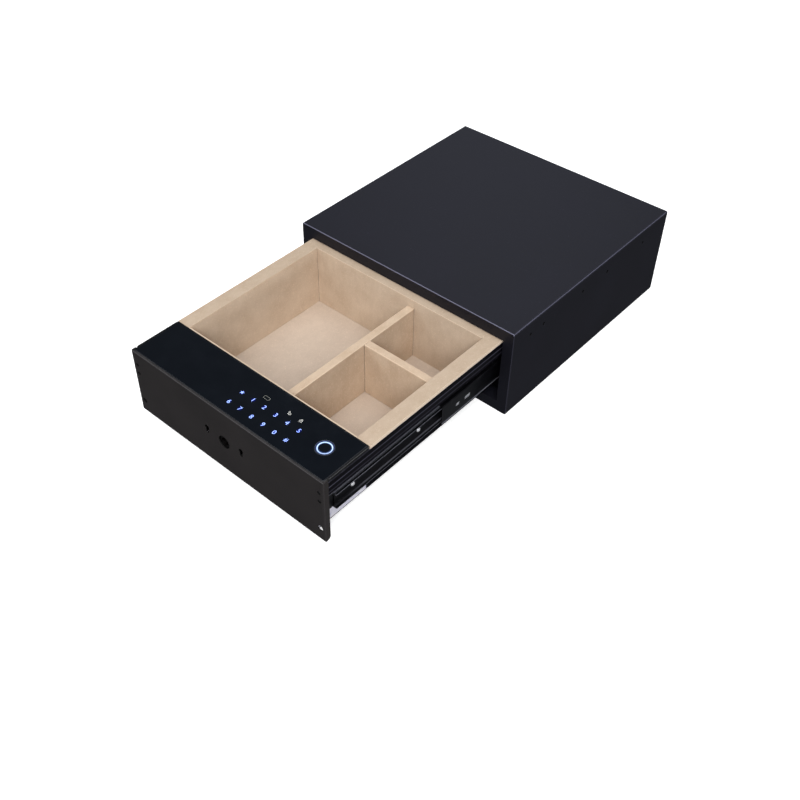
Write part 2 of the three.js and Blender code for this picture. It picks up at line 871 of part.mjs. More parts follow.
const readerSeat = glassBottom - seat;
add(drawer, 'reader_body', rod('z', readerX, readerY, readerRadius, readerSeat - readerBodyDepth, readerSeat, 32), 'plastic');
const ringInside = readerRadius - readerRing;
const lightOutside = ringInside - seat;
const lightInside = lightOutside - lightRing;
add(drawer, 'reader_ring', ring('z', readerX, readerY, ringInside, readerRadius, glassBottom, rimTop + readerProud, 48), 'plastic');
add(drawer, 'reader_light', ring('z', readerX, readerY, lightInside, lightOutside, glassBottom, rimTop + readerProud / 4, 48), 'glow');
add(drawer, 'reader_disc', rod('z', readerX, readerY, lightInside - seat, glassBottom, rimTop - readerProud / 4, 48), 'glass');

// Touch board, 0.3 mm under the glass, with a plug for the lead to the main board.

const touchTop = glassBottom - seat;
const touchBoardRight = readerX - readerRadius - touchBoardGap;
const touchBoardLeft = touchBoardRight - touchBoardWidth;
const touchBoardBack = touchBoardFront + touchBoardDepth;
const touchBoard = join(
  block(touchBoardLeft, touchBoardRight, touchBoardFront, touchBoardBack, touchTop - boardThickness, touchTop),
  block(
    touchBoardRight - leadPlugInset - leadPlugWidth,
    touchBoardRight - leadPlugInset,
    touchBoardBack - 2 * leadPlugDepth,
    touchBoardBack - leadPlugDepth,
    touchTop - boardThickness - leadPlugDepth,
    touchTop - boardThickness / 2,
  ),
);
add(drawer, 'touch_board', touchBoard, 'board');

// Control board on the back wall of the housing, with its parts soldered on.

const wallFace = housingBack - housingSheet - seat;
const controlRight = housingInside - controlInset;
const controlLeft = controlRight - controlWidth;
const controlTop = stepHeight - controlDrop;
const controlLow = controlTop - controlHeight;
const boardFace = wallFace - boardThickness;
const onBoard = (left, low, width, height, rise) => block(
  controlLeft + left,
  controlLeft + left + width,
  boardFace - rise,
  boardFace + boardThickness / 2,
  controlLow + low,
  controlLow + low + height,
);
const controlBoard = join(
  block(controlLeft, controlRight, boardFace, wallFace, controlLow, controlTop),
  onBoard(relayInset, relayInset, relayWidth, relayHeight, relayRise),
  onBoard(chipLeft, chipLow, chipSize, chipSize, chipRise),
  onBoard(
    controlWidth - socketInset - socketSize,
    controlHeight - socketInset - socketSize,
    socketSize,
    socketSize,
    socketRise,
  ),
  rod(
    'y',
    controlLeft + capacitorLeft,
    controlLow + capacitorLow,
    capacitorRadius,
    boardFace - capacitorRise,
    boardFace + boardThickness / 2,
    16,
  ),
);
add(drawer, 'control_board', controlBoard, 'board');

// Key cylinder behind the round hole, and the plug that turns in it.

const plugBore = plugRadius + running;
add(drawer, 'key_cylinder', turned('y', lockX, lockHeight, [
  [plugBore, behindFront],
  [cylinderFlange, behindFront],
  [cylinderFlange, behindFront + cylinderFlangeDepth],
  [cylinderRadius, behindFront + cylinderFlangeDepth],
  [cylinderRadius, shoulder - seat],
  [plugBore, shoulder - seat],
], 32), 'brass');

const pinEnd = boltFront + boltPlate + 1;
const pinX = lockX + crank * Math.cos(Math.PI / 4);
const pinZ = lockHeight + crank * Math.sin(Math.PI / 4);
const plug = cut(
  join(
    rod('y', lockX, lockHeight, plugRadius, plugRecess, discFront + 0.5, 32),
    rod('y', lockX, lockHeight, crank + crankPin + 1, discFront, discFront + discDepth, 32),
    rod('y', pinX, pinZ, crankPin, discFront + discDepth / 2, pinEnd, 16),
  ),
  block(
    lockX - keySlotWidth / 2,
    lockX + keySlotWidth / 2,
    plugRecess - 1,
    plugRecess + keySlotDepth,
    lockHeight - keySlotHeight / 2,
    lockHeight + keySlotHeight / 2,
  ),
);
add(drawer, 'key_plug', plug, 'brass');

// Bolt: a block that drops through the floor, with a slotted plate that the crank pin moves.

const plateTop = pinZ + crankPin + crankClearance + 4;
const slotReach = crank + crankPin + crankClearance;
const slotStart = crank * Math.cos(Math.PI / 4) - crankPin - crankClearance;
const bolt = cut(
  join(
    block(lockX - boltHalf, lockX + boltHalf, boltFront, boltBack, boltBottom, boltBottom + boltBlock),
    block(lockX - boltHalf, lockX + boltHalf, boltFront, boltFront + boltPlate, boltBottom + boltBlock / 2, plateTop),
  ),
  block(
    lockX + slotStart,
    lockX + slotReach,
    boltFront - 1,
    boltFront + boltPlate + 1,
    pinZ - crankPin - crankClearance,
    pinZ + crankPin + crankClearance,
  ),
);
add(drawer, 'lock_bolt', bolt, 'steel');

// Case that holds the cylinder and guides the bolt.

const caseHalf = boltHalf + running + caseWall;
const caseLow = housingLow + housingSheet + seat;
const guideTop = boltBottom + boltBlock - 2;
const caseBack = caseFront + caseDepth;
const lockCase = cut(
  block(lockX - caseHalf, lockX + caseHalf, caseFront, caseBack, caseLow, caseTop),
  block(
    lockX - caseHalf + caseSide,
    lockX + caseHalf - caseSide,
    cavityFront,
    caseBack + 1,
    guideTop,
    caseTop - caseSide,
  ),
  boltWay(running, caseLow - 1, guideTop + 1),
  rod('y', lockX, lockHeight, cylinderRadius + seat, caseFront - 1, shoulder, 32),
  rod('y', lockX, lockHeight, plugRadius + running, shoulder - 1, cavityFront + 1, 32),
);
add(drawer, 'lock_case', lockCase, 'plastic');

// Geared motor against the side of the lock case.

const motorLeft = lockX + caseHalf + seat;
const motorY = caseFront + caseDepth / 2;
const motorStart = motorLeft + gearboxLength;
const motorEnd = motorStart + motorLength;
const motor = join(
  block(
    motorLeft,
    motorStart,
    motorY - gearboxHalf,
    motorY + gearboxHalf,
    lockHeight - gearboxHalf,
    lockHeight + gearboxHalf,
  ),
  rod('x', motorY, lockHeight, motorRadius, motorStart - 1, motorEnd, 24),
  rod('x', motorY, lockHeight, motorBossRadius, motorEnd - 1, motorEnd + motorBossLength, 12),
);
add(drawer, 'lock_motor', motor, 'steel');

// Strike on the casing's floor, under the bolt when the drawer is shut.

const shutShift = casingFront;
const strikeMiddle = shutShift + (boltFront + boltBack) / 2;
const strikeHalf = boltDepth / 2 + strikeWall;
const strikeLow = casingSheet + seat;
const strikeSection = polygon([
  [strikeMiddle - strikeHalf - strikeFoot, strikeLow],
  [strikeMiddle - strikeHalf + strikeSheet, strikeLow],
  [strikeMiddle - strikeHalf + strikeSheet, strikeTop - strikeSheet],
  [strikeMiddle + strikeHalf - strikeSheet, strikeTop - strikeSheet],
  [strikeMiddle + strikeHalf - strikeSheet, strikeLow],
  [strikeMiddle + strikeHalf + strikeFoot, strikeLow],
  [strikeMiddle + strikeHalf + strikeFoot, strikeLow + strikeSheet],
  [strikeMiddle + strikeHalf, strikeLow + strikeSheet],
  [strikeMiddle + strikeHalf, strikeTop],
  [strikeMiddle - strikeHalf, strikeTop],
  [strikeMiddle - strikeHalf, strikeLow + strikeSheet],
  [strikeMiddle - strikeHalf - strikeFoot, strikeLow + strikeSheet],
]);
const strike = cut(
  prism(strikeSection, 'x', lockX - boltHalf - strikeMargin, lockX + boltHalf + strikeMargin),
  block(
    lockX - boltHalf - strikeClearance,
    lockX + boltHalf + strikeClearance,
    shutShift + boltFront - strikeClearance,
    shutShift + boltBack + strikeClearance,
    strikeTop - strikeSheet - 1,
    strikeTop + 1,
  ),
);
add(safe, 'bolt_strike', strike, 'steel');

// Battery box, its four cells and its cover.

const boxFront = wallFace - 2 * cellRadius - boxWall - 0.8;
const batteryBox = cut(
  batteryWindow(boxWall, boxFront, wallFace),
  batteryWindow(0, boxFront + boxWall, wallFace + 1),
);
add(drawer, 'battery_box', batteryBox, 'plastic');

const cellY = boxFront + boxWall + seat + cellRadius;
const cellLow = windowLow + seat;
for (let i = 0; i < cellCount; i += 1) {
  const x = boxCentreX + (i - (cellCount - 1) / 2) * cellPitch;
  const cell = turned('z', x, cellY, [
    [0, cellLow],
    [cellRadius, cellLow],
    [cellRadius, cellLow + cellLength],
    [2.6, cellLow + cellLength],
    [2.6, cellLow + cellLength + cellNub],
    [0, cellLow + cellLength + cellNub],
  ], 20);
  add(drawer, `battery_${i + 1}`, cell, 'cell');
}

// Lining: floor, walls that turn out over the lip, and the dividers.

const liningFront = bayBack;
const liningBack = drawerDepth - drawerSheet - seat;
const liningInside = panInside - seat - sideBoard;
const floorTop = panFloor + seat + floorBoard;
const wallBottom = floorTop + seat;
const ledge = stepHeight + drawerSheet + seat;
add(drawer, 'lining_floor', block(
  -panInside + seat,
  panInside - seat,
  liningFront,
  liningBack,
  panFloor + seat,
  floorTop,
), 'suede');

// Board section: a wall, a thick head on the step, and a turn-out over the steel edge.
const boardSection = (inside, face, lip, edge) => [
  [inside, wallBottom],
  [face, wallBottom],
  [face, ledge],
  [lip, ledge],
  [lip, rimTop - rimBoard],
  [edge, rimTop - rimBoard],
  [edge, rimTop],
  [inside, rimTop],
];
addPair(drawer, 'lining_side', prism(
  polygon(boardSection(liningInside, panInside - seat, lipInside - seat, lipHalfWidth)),
  'y', liningFront, liningBack,
), 'suede');
add(drawer, 'lining_back', prism(
  polygon(boardSection(trayEnd, trayEnd + wallBoard, liningBack, drawerDepth)),
  'x', -liningInside + seat, liningInside - seat,
), 'suede');

const liningFrontBoard = cut(
  block(-liningInside + seat, liningInside - seat, liningFront, liningFront + frontBoard, wallBottom, rimTop),
  batteryWindow(seat, liningFront - 1, liningFront + frontBoard + 1),
);
add(drawer, 'lining_front', liningFrontBoard, 'suede');
const cover = cut(
  batteryWindow(0, liningFront, liningFront + frontBoard),
  rod('y', boxCentreX, windowHigh, coverNotch, liningFront - 1, liningFront + frontBoard + 1, 24),
);
add(drawer, 'battery_cover', cover, 'plastic');

const trayFront = liningFront + frontBoard + seat;
const mainHalf = dividerBoard / 2;
add(drawer, 'main_divider', block(
  mainDividerX - mainHalf,
  mainDividerX + mainHalf,
  trayFront,
  trayEnd - seat,
  wallBottom,
  dividerTop,
), 'suede');
add(drawer, 'cross_divider', block(
  mainDividerX + mainHalf + seat,
  liningInside - seat,
  crossDividerY - mainHalf,
  crossDividerY + mainHalf,
  wallBottom,
  dividerTop,
), 'suede');

export default safe;
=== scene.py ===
# %% [markdown]
# # An under desk drawer safe, dressed in Blender
#
# The safe comes in as a measured frame: every folded sheet, slide and board is already at its real size and place.
# This lesson gives those pieces their rounded folds, their finishes and the small parts that a closer look asks for,
# and then sets up a plain studio. The frame is loaded first, so that each new piece can be placed from it.

# %% Load the measured frame
import json
import math

import bmesh
import bpy
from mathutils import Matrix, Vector

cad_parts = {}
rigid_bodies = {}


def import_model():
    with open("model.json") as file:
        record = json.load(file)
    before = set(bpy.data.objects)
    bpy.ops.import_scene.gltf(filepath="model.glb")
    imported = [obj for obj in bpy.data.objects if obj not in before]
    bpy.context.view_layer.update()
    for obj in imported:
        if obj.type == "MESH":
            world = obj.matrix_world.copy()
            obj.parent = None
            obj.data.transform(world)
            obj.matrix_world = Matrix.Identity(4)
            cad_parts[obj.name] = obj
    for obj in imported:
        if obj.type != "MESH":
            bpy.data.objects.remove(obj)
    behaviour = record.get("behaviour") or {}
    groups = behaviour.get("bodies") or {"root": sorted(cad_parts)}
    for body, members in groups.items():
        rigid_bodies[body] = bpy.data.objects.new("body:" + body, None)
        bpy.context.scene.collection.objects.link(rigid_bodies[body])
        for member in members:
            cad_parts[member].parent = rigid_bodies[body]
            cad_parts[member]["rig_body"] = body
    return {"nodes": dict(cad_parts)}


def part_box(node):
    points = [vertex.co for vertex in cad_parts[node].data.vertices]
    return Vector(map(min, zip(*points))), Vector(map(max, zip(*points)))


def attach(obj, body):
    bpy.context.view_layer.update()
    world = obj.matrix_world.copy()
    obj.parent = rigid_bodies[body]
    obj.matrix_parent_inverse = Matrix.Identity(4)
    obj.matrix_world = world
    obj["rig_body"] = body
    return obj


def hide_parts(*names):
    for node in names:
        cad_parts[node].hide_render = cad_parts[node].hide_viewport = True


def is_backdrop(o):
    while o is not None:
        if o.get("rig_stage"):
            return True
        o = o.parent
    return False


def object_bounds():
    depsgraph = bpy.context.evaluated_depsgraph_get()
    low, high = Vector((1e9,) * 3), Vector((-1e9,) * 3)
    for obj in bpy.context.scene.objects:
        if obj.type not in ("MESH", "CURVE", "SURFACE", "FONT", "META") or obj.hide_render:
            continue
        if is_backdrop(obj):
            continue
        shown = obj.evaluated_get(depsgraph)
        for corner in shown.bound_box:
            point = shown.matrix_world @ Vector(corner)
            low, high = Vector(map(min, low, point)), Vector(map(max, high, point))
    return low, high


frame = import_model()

scene = bpy.context.scene
nodes = frame["nodes"]
cad_low, cad_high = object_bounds()
print(f"{len(nodes)} pieces in a box of {tuple(round(v, 4) for v in cad_high - cad_low)} m")

# %% [markdown]
# A finish is a small graph of nodes. Blender's own way to add one takes four or five lines for each node, which hides
# the sum that it does. One small class wraps a socket, so that a sum on sockets can be written as a sum in Python.
# Another class holds the tree, and adds any other node in one call: its kind, its settings, then its sockets.

# %% Sockets that can be added and multiplied
MM = 0.001


class Wire:
    """One output socket. Arithmetic on it adds Math nodes to the same tree."""

    def __init__(self, bench, socket):
        self.bench = bench
        self.socket = socket

    def sum(self, operation, *values):
        return self.bench.node("ShaderNodeMath", {"operation": operation}, dict(enumerate(values)))

    def __add__(self, other):
        return self.sum("ADD", self, other)

    def __sub__(self, other):
        return self.sum("SUBTRACT", self, other)

    def __rsub__(self, other):
        return self.sum("SUBTRACT", other, self)

    def __mul__(self, other):
        return self.sum("MULTIPLY", self, other)

    def __truediv__(self, other):
        return self.sum("DIVIDE", self, other)

    def __pow__(self, other):
        return self.sum("POWER", self, other)

    __radd__ = __add__
    __rmul__ = __mul__


class Bench:
    """A node tree, with one way to add a node to it."""

    def __init__(self, tree):
        self.tree = tree

    def node(self, kind, settings=None, sockets=None, output=0):
        made = self.tree.nodes.new(kind)
        for name, value in (settings or {}).items():
            if name == "stops":
                self.set_stops(made.color_ramp, value)
            else:
                setattr(made, name, value)
        for key, value in (sockets or {}).items():
            for part in value if isinstance(value, list) else [value]:
                if isinstance(part, Wire):
                    self.tree.links.new(part.socket, made.inputs[key])
                else:
                    made.inputs[key].default_value = part
        return Wire(self, made.outputs[output]) if made.outputs else made

    def set_stops(self, ramp, stops):
        while len(ramp.elements) < len(stops):
            ramp.elements.new(1)
        for element, (place, colour) in zip(ramp.elements, stops):
            element.position = place
            element.color = colour

    def other(self, wire, output):
        """Another output of the node that a wire comes from."""
        return Wire(self, wire.socket.node.outputs[output])


print("ready to wire finishes")

# %% [markdown]
# Painted steel, flock and plated metal all share a few steps: where on the piece a point lies, a soft cloud of noise,
# a blend of two colours and a fine relief. They read Object coordinates, which are the same metres as the frame, so a
# grain of 0.7 mm is 0.7 mm on every piece.

# %% Steps that the finishes share
def rgb(red, green, blue):
    """A colour as an eye reads it on a screen, 0 to 255, turned into the linear light that shaders take."""
    return tuple(((v / 255 + 0.055) / 1.055) ** 2.4 if v > 10 else v / 255 / 12.92 for v in (red, green, blue)) + (1,)


def tint(colour, factor, lift=0.0):
    """A colour made lighter or darker. The lift is added, so that black can rise too."""
    return tuple(min(1.0, factor * v + lift) for v in colour[:3]) + (1,)


def new_finish(name):
    """An empty material and the bench that fills it."""
    material = bpy.data.materials.new(name)
    material.use_nodes = True
    material.node_tree.nodes.clear()
    return material, Bench(material.node_tree)


def place(bench, stretch=(1, 1, 1)):
    """Object coordinates, stretched where a pattern runs along the piece."""
    spot = bench.node("ShaderNodeTexCoord", output="Object")
    return bench.node("ShaderNodeVectorMath", {"operation": "MULTIPLY"}, {0: spot, 1: stretch})


def measure(bench, spot, axis):
    """How far a point lies along X, Y or Z, in metres."""
    return bench.node("ShaderNodeSeparateXYZ", None, {0: spot}, output=axis)


def cloud(bench, spot, size, detail=2, roughness=0.5):
    """Soft noise from 0 to 1 whose lumps are about size metres across."""
    return bench.node(
        "ShaderNodeTexNoise",
        {"noise_dimensions": "3D"},
        {"Vector": spot, "Scale": 1 / size, "Detail": detail, "Roughness": roughness},
    )


def blend(bench, share, first, second):
    """A colour between two others."""
    return bench.node("ShaderNodeMix", {"data_type": "RGBA"}, {"Factor": share, 6: first, 7: second}, output=2)


def span(bench, value, low, high, first, second):
    """Maps low..high to first..second, and holds the ends."""
    return bench.node(
        "ShaderNodeMapRange",
        {"clamp": True},
        {"Value": value, "From Min": low, "From Max": high, "To Min": first, "To Max": second},
    )


def relief(bench, height, depth, strength):
    """A bump of a real depth in metres."""
    return bench.node("ShaderNodeBump", None, {"Height": height, "Distance": depth, "Strength": strength})


def mark(bench, name):
    """How strongly a face carries a mark, 0 to 1. The marks are called fold, seam, hole, top and rim."""
    return bench.node("ShaderNodeAttribute", {"attribute_name": name}, output="Fac")


def close_finish(bench, **sockets):
    """Ends a finish in a Principled surface. Socket names have spaces where these have underscores."""
    surface = bench.node("ShaderNodeBsdfPrincipled", None, {k.replace("_", " "): v for k, v in sockets.items()})
    bench.node("ShaderNodeOutputMaterial", None, {"Surface": surface})


print("shared steps ready")

# %% [markdown]
# The casing, the drawer front and the pan are steel with baked powder paint. Real powder paint isn't flat: the grains
# melt into a fine orange peel, and hands leave it slightly uneven. The peel is a relief a few hundredths of a
# millimetre deep, and the gloss drifts slowly. The folds are smoother and painted lighter, a painted highlight. The
# walls of punched holes are painted nearly black, a painted shade. The pan has two faint painted highlight lines, and
# each is a band of height.

# %% Powder paint
PAN_HIGHLIGHT_LINES = [(114.8 * MM, 0.65), (106.5 * MM, 0.3)]


def painted_highlight_band(bench, height, level, share):
    """A band that is full within 0.4 mm of its level and gone 1.1 mm away from it."""
    core, reach = 0.4 * MM, 1.1 * MM
    band = span(bench, height, level - reach, level - core, 0, share)
    return band - span(bench, height, level + core, level + reach, 0, share)


def powder_paint(name, colour, dust_and_highlight_colour, gloss, specular, peel=0.7 * MM, highlight_lines=()):
    """Highlight lines are the heights of faint painted highlight lines along a side, each with its strength."""
    material, bench = new_finish(name)
    spot = place(bench)
    grain = cloud(bench, spot, peel, detail=3)
    drift = cloud(bench, spot, 90 * MM, detail=3)
    dust = cloud(bench, spot, 2.6 * MM, detail=4, roughness=0.7)
    fold = mark(bench, "fold")
    coat = blend(bench, span(bench, drift, 0.35, 0.65, 0, 1), tint(colour, 0.88), tint(colour, 1.12))
    coat = blend(bench, span(bench, dust, 0.66, 0.74, 0, 0.18), coat, dust_and_highlight_colour)
    # The folds are painted lighter: a painted highlight.
    coat = blend(bench, fold * 0.75, coat, dust_and_highlight_colour)
    # The walls of holes are painted nearly black: a painted shade.
    coat = blend(bench, mark(bench, "hole") * 0.9, coat, rgb(3, 3, 4))
    # Each line is a painted highlight along the side.
    for level, share in highlight_lines:
        coat = blend(bench, painted_highlight_band(bench, measure(bench, spot, "Z"), level, share), coat, dust_and_highlight_colour)
    close_finish(
        bench,
        Base_Color=coat,
        Roughness=gloss + 0.08 * drift + 0.06 * grain - 0.1 * fold,
        Specular_IOR_Level=specular,
        Normal=relief(bench, grain, 0.03 * MM, 0.5),
    )
    return material


casing_paint = powder_paint("casing_paint", rgb(19, 19, 27), rgb(124, 124, 146), 0.45, 0.24)
front_paint = powder_paint("front_paint", rgb(43, 40, 40), rgb(84, 83, 86), 0.48, 0.25, peel=0.5 * MM)
pan_paint = powder_paint("pan_paint", rgb(9, 8, 13), rgb(96, 96, 110), 0.26, 0.05, highlight_lines=PAN_HIGHLIGHT_LINES)
print("paints:", casing_paint.name, front_paint.name, pan_paint.name)

# %% [markdown]
# The slides are cold rolled steel with a thin black coat. Rolling leaves fine lines along the strip, the flange edges
# are painted grey as a painted highlight, and a film of grease holds a little dust. The lines are noise that is
# stretched along the slide, and they touch colour and relief together, because on steel they are one thing. Near the
# front, the foot of the drawer member keeps its black, a painted shade that takes most of the highlight off, and two
# spans of the coordinates say where that is.

# %% Black slide steel
SHADED_FOOT_HEIGHT = (50 * MM, 56 * MM)
SHADED_FOOT_FRONT = (-490 * MM, -455 * MM)


def slide_coat(name):
    material, bench = new_finish(name)
    spot = place(bench)
    drawn = cloud(bench, place(bench, (1, 0.015, 1)), 0.35 * MM, detail=2)
    film = cloud(bench, spot, 14 * MM, detail=4, roughness=0.65)
    # Low on the drawer member and near its front, most of the highlight is taken off: a painted shade under the lip.
    shade_low = span(bench, measure(bench, spot, "Z"), *SHADED_FOOT_HEIGHT, 1, 0)
    shade_front = span(bench, measure(bench, spot, "Y"), *SHADED_FOOT_FRONT, 1, 0)
    fold = mark(bench, "fold") * (1 - 0.8 * shade_low * shade_front)
    coat = blend(bench, span(bench, drawn, 0.45, 0.75, 0, 0.5), rgb(8, 8, 11), rgb(24, 24, 30))
    coat = blend(bench, span(bench, film, 0.55, 0.75, 0, 0.3), coat, rgb(38, 37, 41))
    # The marked edges are painted grey: a painted highlight.
    coat = blend(bench, fold * 0.85, coat, rgb(140, 141, 152))
    close_finish(
        bench,
        Base_Color=coat,
        Roughness=span(bench, film, 0.35, 0.7, 0.3, 0.38),
        Metallic=0.25 - 0.15 * fold,
        Normal=relief(bench, drawn, 0.012 * MM, 0.5),
    )
    return material


slide_black = slide_coat("slide_black")
print("slide coat:", slide_black.name)

# %% [markdown]
# Inside the front of the drawer is a housing of zinc plated sheet, and the lock has steel, chrome and dark nickel
# pieces. Metals take their colour from the reflection, so the work is in the roughness: zinc grows in faint crystals,
# which a Voronoi texture stands for. Its foot is painted black, and so is what is above the slides, where that black
# is painted shade. Bright steel is brushed, and chrome is only a little hazy.

# %% Plated metals
MASK_FOOT = (23.0 * MM, 23.3 * MM)
SHADE_ABOVE = (62 * MM, 68 * MM)
CRYSTAL = 5 * MM


def zinc_coat(name):
    material, bench = new_finish(name)
    spot = place(bench)
    crystal = bench.node(
        "ShaderNodeTexVoronoi", {"feature": "F1"}, {"Vector": spot, "Scale": 1 / CRYSTAL}, output="Color"
    )
    tone = bench.node("ShaderNodeSeparateColor", None, {"Color": crystal})
    haze = cloud(bench, spot, 25 * MM, detail=3)
    height = measure(bench, spot, "Z")
    bare = blend(bench, tone, rgb(222, 220, 240), rgb(246, 244, 252))
    # Black at the foot, and above the slides black as a painted shade.
    black_foot_and_shade = span(bench, height, *SHADE_ABOVE, 0, 0.97) + span(bench, height, *MASK_FOOT, 0.97, 0)
    close_finish(
        bench,
        Base_Color=blend(bench, black_foot_and_shade, bare, rgb(10, 10, 12)),
        Roughness=0.5 * black_foot_and_shade + (0.3 + 0.14 * tone + 0.12 * haze) * (1 - black_foot_and_shade),
        Metallic=0.15,
        Normal=relief(bench, (tone + haze) * (1 - black_foot_and_shade), 0.01 * MM, 0.25),
    )
    return material


def brushed_metal(name, colour, gloss, stretch, haze_size=9 * MM, metal=1.0):
    material, bench = new_finish(name)
    brush = cloud(bench, place(bench, stretch), 0.3 * MM, detail=3)
    haze = cloud(bench, place(bench), haze_size, detail=3)
    close_finish(
        bench,
        Base_Color=blend(bench, span(bench, haze, 0.4, 0.7, 0, 1), colour, tint(colour, 0.7)),
        Roughness=gloss + 0.15 * brush + 0.1 * haze,
        Metallic=metal,
        Normal=relief(bench, brush, 0.006 * MM, 0.4),
    )
    return material


zinc_plate = zinc_coat("zinc_plate")
bright_steel = brushed_metal("bright_steel", rgb(214, 216, 222), 0.24, (1, 0.05, 1), metal=0.5)
chrome = brushed_metal("chrome", rgb(240, 241, 244), 0.12, (1, 1, 1), haze_size=3 * MM, metal=0.35)
lock_metal = brushed_metal("lock_metal", rgb(42, 40, 40), 0.34, (1, 0.1, 1))
print("metals:", zinc_plate.name, bright_steel.name, chrome.name, lock_metal.name)

# %% [markdown]
# The top of the electronics is one sheet of black glass. Glass looks black here because its underside is printed, so
# a dark surface with a sharp gloss is enough, and it stays cheap to render. What gives it scale is the faint film
# that fingers leave, which hardly shows but in the gloss. The bezel and the boxes are moulded plastic with a sparked
# texture.

# %% Black glass and black plastic
def glass_coat(name):
    material, bench = new_finish(name)
    film = cloud(bench, place(bench), 28 * MM, detail=5, roughness=0.62)
    dust = cloud(bench, place(bench), 1.1 * MM, detail=2)
    printed = blend(bench, span(bench, film, 0.4, 0.7, 0, 1), rgb(9, 13, 19), rgb(12, 16, 22))
    close_finish(
        bench,
        # The rounded edge is painted lighter: a painted highlight.
        Base_Color=blend(bench, mark(bench, "fold") * 0.6, printed, rgb(74, 76, 80)),
        Roughness=span(bench, film, 0.4, 0.72, 0.05, 0.13) + span(bench, dust, 0.68, 0.74, 0, 0.08),
        Specular_IOR_Level=0.3,
    )
    return material


def moulded_plastic(name, colour, gloss, wear_and_highlight=None, specular=0.5):
    material, bench = new_finish(name)
    spark = cloud(bench, place(bench), 0.45 * MM, detail=3, roughness=0.7)
    wear = cloud(bench, place(bench), 18 * MM, detail=3)
    fold = mark(bench, "fold")
    wear_and_highlight = wear_and_highlight or tint(colour, 3.2, 0.01)
    body = blend(bench, span(bench, wear, 0.5, 0.8, 0, 0.12), colour, wear_and_highlight)
    close_finish(
        bench,
        # Folds are painted lighter, a painted highlight. The same colour serves the real wear patches.
        Base_Color=blend(bench, fold * 0.6, body, wear_and_highlight),
        Roughness=gloss + 0.12 * spark - 0.1 * fold,
        Specular_IOR_Level=specular,
        Normal=relief(bench, spark, 0.02 * MM, 0.4),
    )
    return material


black_glass = glass_coat("black_glass")
black_plastic = moulded_plastic("black_plastic", rgb(18, 19, 22), 0.42)
bezel_plastic = moulded_plastic("bezel_plastic", rgb(15, 15, 17), 0.42, wear_and_highlight=rgb(120, 120, 122), specular=0.18)
rubber = moulded_plastic("rubber", rgb(16, 16, 16), 0.8)
print("glass and plastics:", black_glass.name, black_plastic.name, rubber.name)

# %% [markdown]
# The tray is lined with boards that are covered in flock, a velvet of very short fibres. Flock never shows one even
# colour: a hand leaves it lying in patches, lighter where the fibres point at you. Broad soft clouds make the
# patches, a stretched noise makes the strokes of the hand, a few pale tufts stand out, a fine noise is the nap
# itself, and a little sheen lifts the edges that are seen at a low angle. Marks give a seam its dark joint and a fold
# a painted highlight. The rim's top gets a painted shade, and its outer side is painted light.

# %% Flock
LIT_RIM_SIDE_COLOUR = rgb(226, 206, 184)


def flock(name, light, dark):
    material, bench = new_finish(name)
    pale = tint(light, 1.18)
    spot = place(bench)
    patch = cloud(bench, spot, 34 * MM, detail=5, roughness=0.6)
    stroke = cloud(bench, place(bench, (1.0, 0.55, 0.35)), 9 * MM, detail=4, roughness=0.7)
    nap = cloud(bench, spot, 0.6 * MM, detail=3, roughness=0.7)
    speck = cloud(bench, place(bench, (1.0, 0.8, 0.8)), 3.4 * MM, detail=3, roughness=0.6)
    hairs = cloud(bench, place(bench, (1.0, 0.5, 0.45)), 0.9 * MM, detail=2, roughness=0.4)
    lie = 0.5 * span(bench, patch, 0.34, 0.66, 0, 1) + 0.3 * span(bench, stroke, 0.36, 0.66, 0, 1) + 0.25 * nap
    cover = blend(bench, lie, dark, light)
    cover = blend(bench, span(bench, hairs, 0.58, 0.68, 0, 0.45), cover, pale)
    cover = blend(bench, span(bench, speck, 0.6, 0.7, 0, 0.4), cover, pale)
    # A fold is painted paler: a painted highlight.
    cover = blend(bench, mark(bench, "fold") * 0.4, cover, pale)
    # The rim's top is painted darker, a painted shade, and its outer side lighter, a painted light.
    cover = blend(bench, mark(bench, "top") * 0.32, cover, tint(dark, 0.62))
    cover = blend(bench, mark(bench, "rim") * 0.9, cover, LIT_RIM_SIDE_COLOUR)
    close_finish(
        bench,
        Base_Color=blend(bench, mark(bench, "seam") * 0.8, cover, tint(dark, 0.22)),
        Roughness=span(bench, nap, 0.3, 0.7, 0.86, 1.0),
        Specular_IOR_Level=0.15,
        Sheen_Weight=0.12,
        Sheen_Roughness=0.5,
        Sheen_Tint=rgb(255, 236, 214),
        Normal=relief(bench, 0.7 * nap + 0.3 * stroke, 0.12 * MM, 0.6),
    )
    return material


wall_flock = flock("suede_walls", rgb(206, 187, 166), rgb(186, 164, 141))
floor_flock = flock("suede_floor", rgb(200, 184, 168), rgb(186, 170, 155))
divider_flock = flock("suede_dividers", rgb(204, 183, 160), rgb(184, 159, 134))
print("flock:", wall_flock.name, floor_flock.name, divider_flock.name)

# %% [markdown]
# What is hidden behind the front still gets what it is made of. A circuit board is green lacquer over copper tracks
# on its flat side, and dark plastic where a part stands up from it. A cell has a printed sleeve and bare metal ends,
# which its height tells apart.

# %% Boards and cells
BOARD_THICKNESS = 1.6 * MM


def circuit_board(name, board, axis):
    """Moulded parts up to a level along one axis, and lacquered board beyond it."""
    material, bench = new_finish(name)
    spot = place(bench)
    level = getattr(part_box(board)[1], axis.lower()) - 1.05 * BOARD_THICKNESS
    height = measure(bench, spot, axis)
    part = height.sum("LESS_THAN", height, level)
    track = bench.node(
        "ShaderNodeTexBrick",
        {"offset": 0.37, "squash": 0.6},
        {"Vector": spot, "Scale": 90, "Mortar Size": 0.012, "Color1": (1, 1, 1, 1), "Color2": (0.7, 0.7, 0.7, 1)},
        output="Fac",
    )
    lacquer = blend(bench, track, rgb(24, 74, 48), rgb(52, 118, 70))
    close_finish(
        bench,
        Base_Color=blend(bench, part, lacquer, rgb(26, 26, 28)),
        Roughness=0.3 + 0.2 * part + 0.1 * track,
        Normal=relief(bench, track, 0.04 * MM, 0.5),
    )
    return material


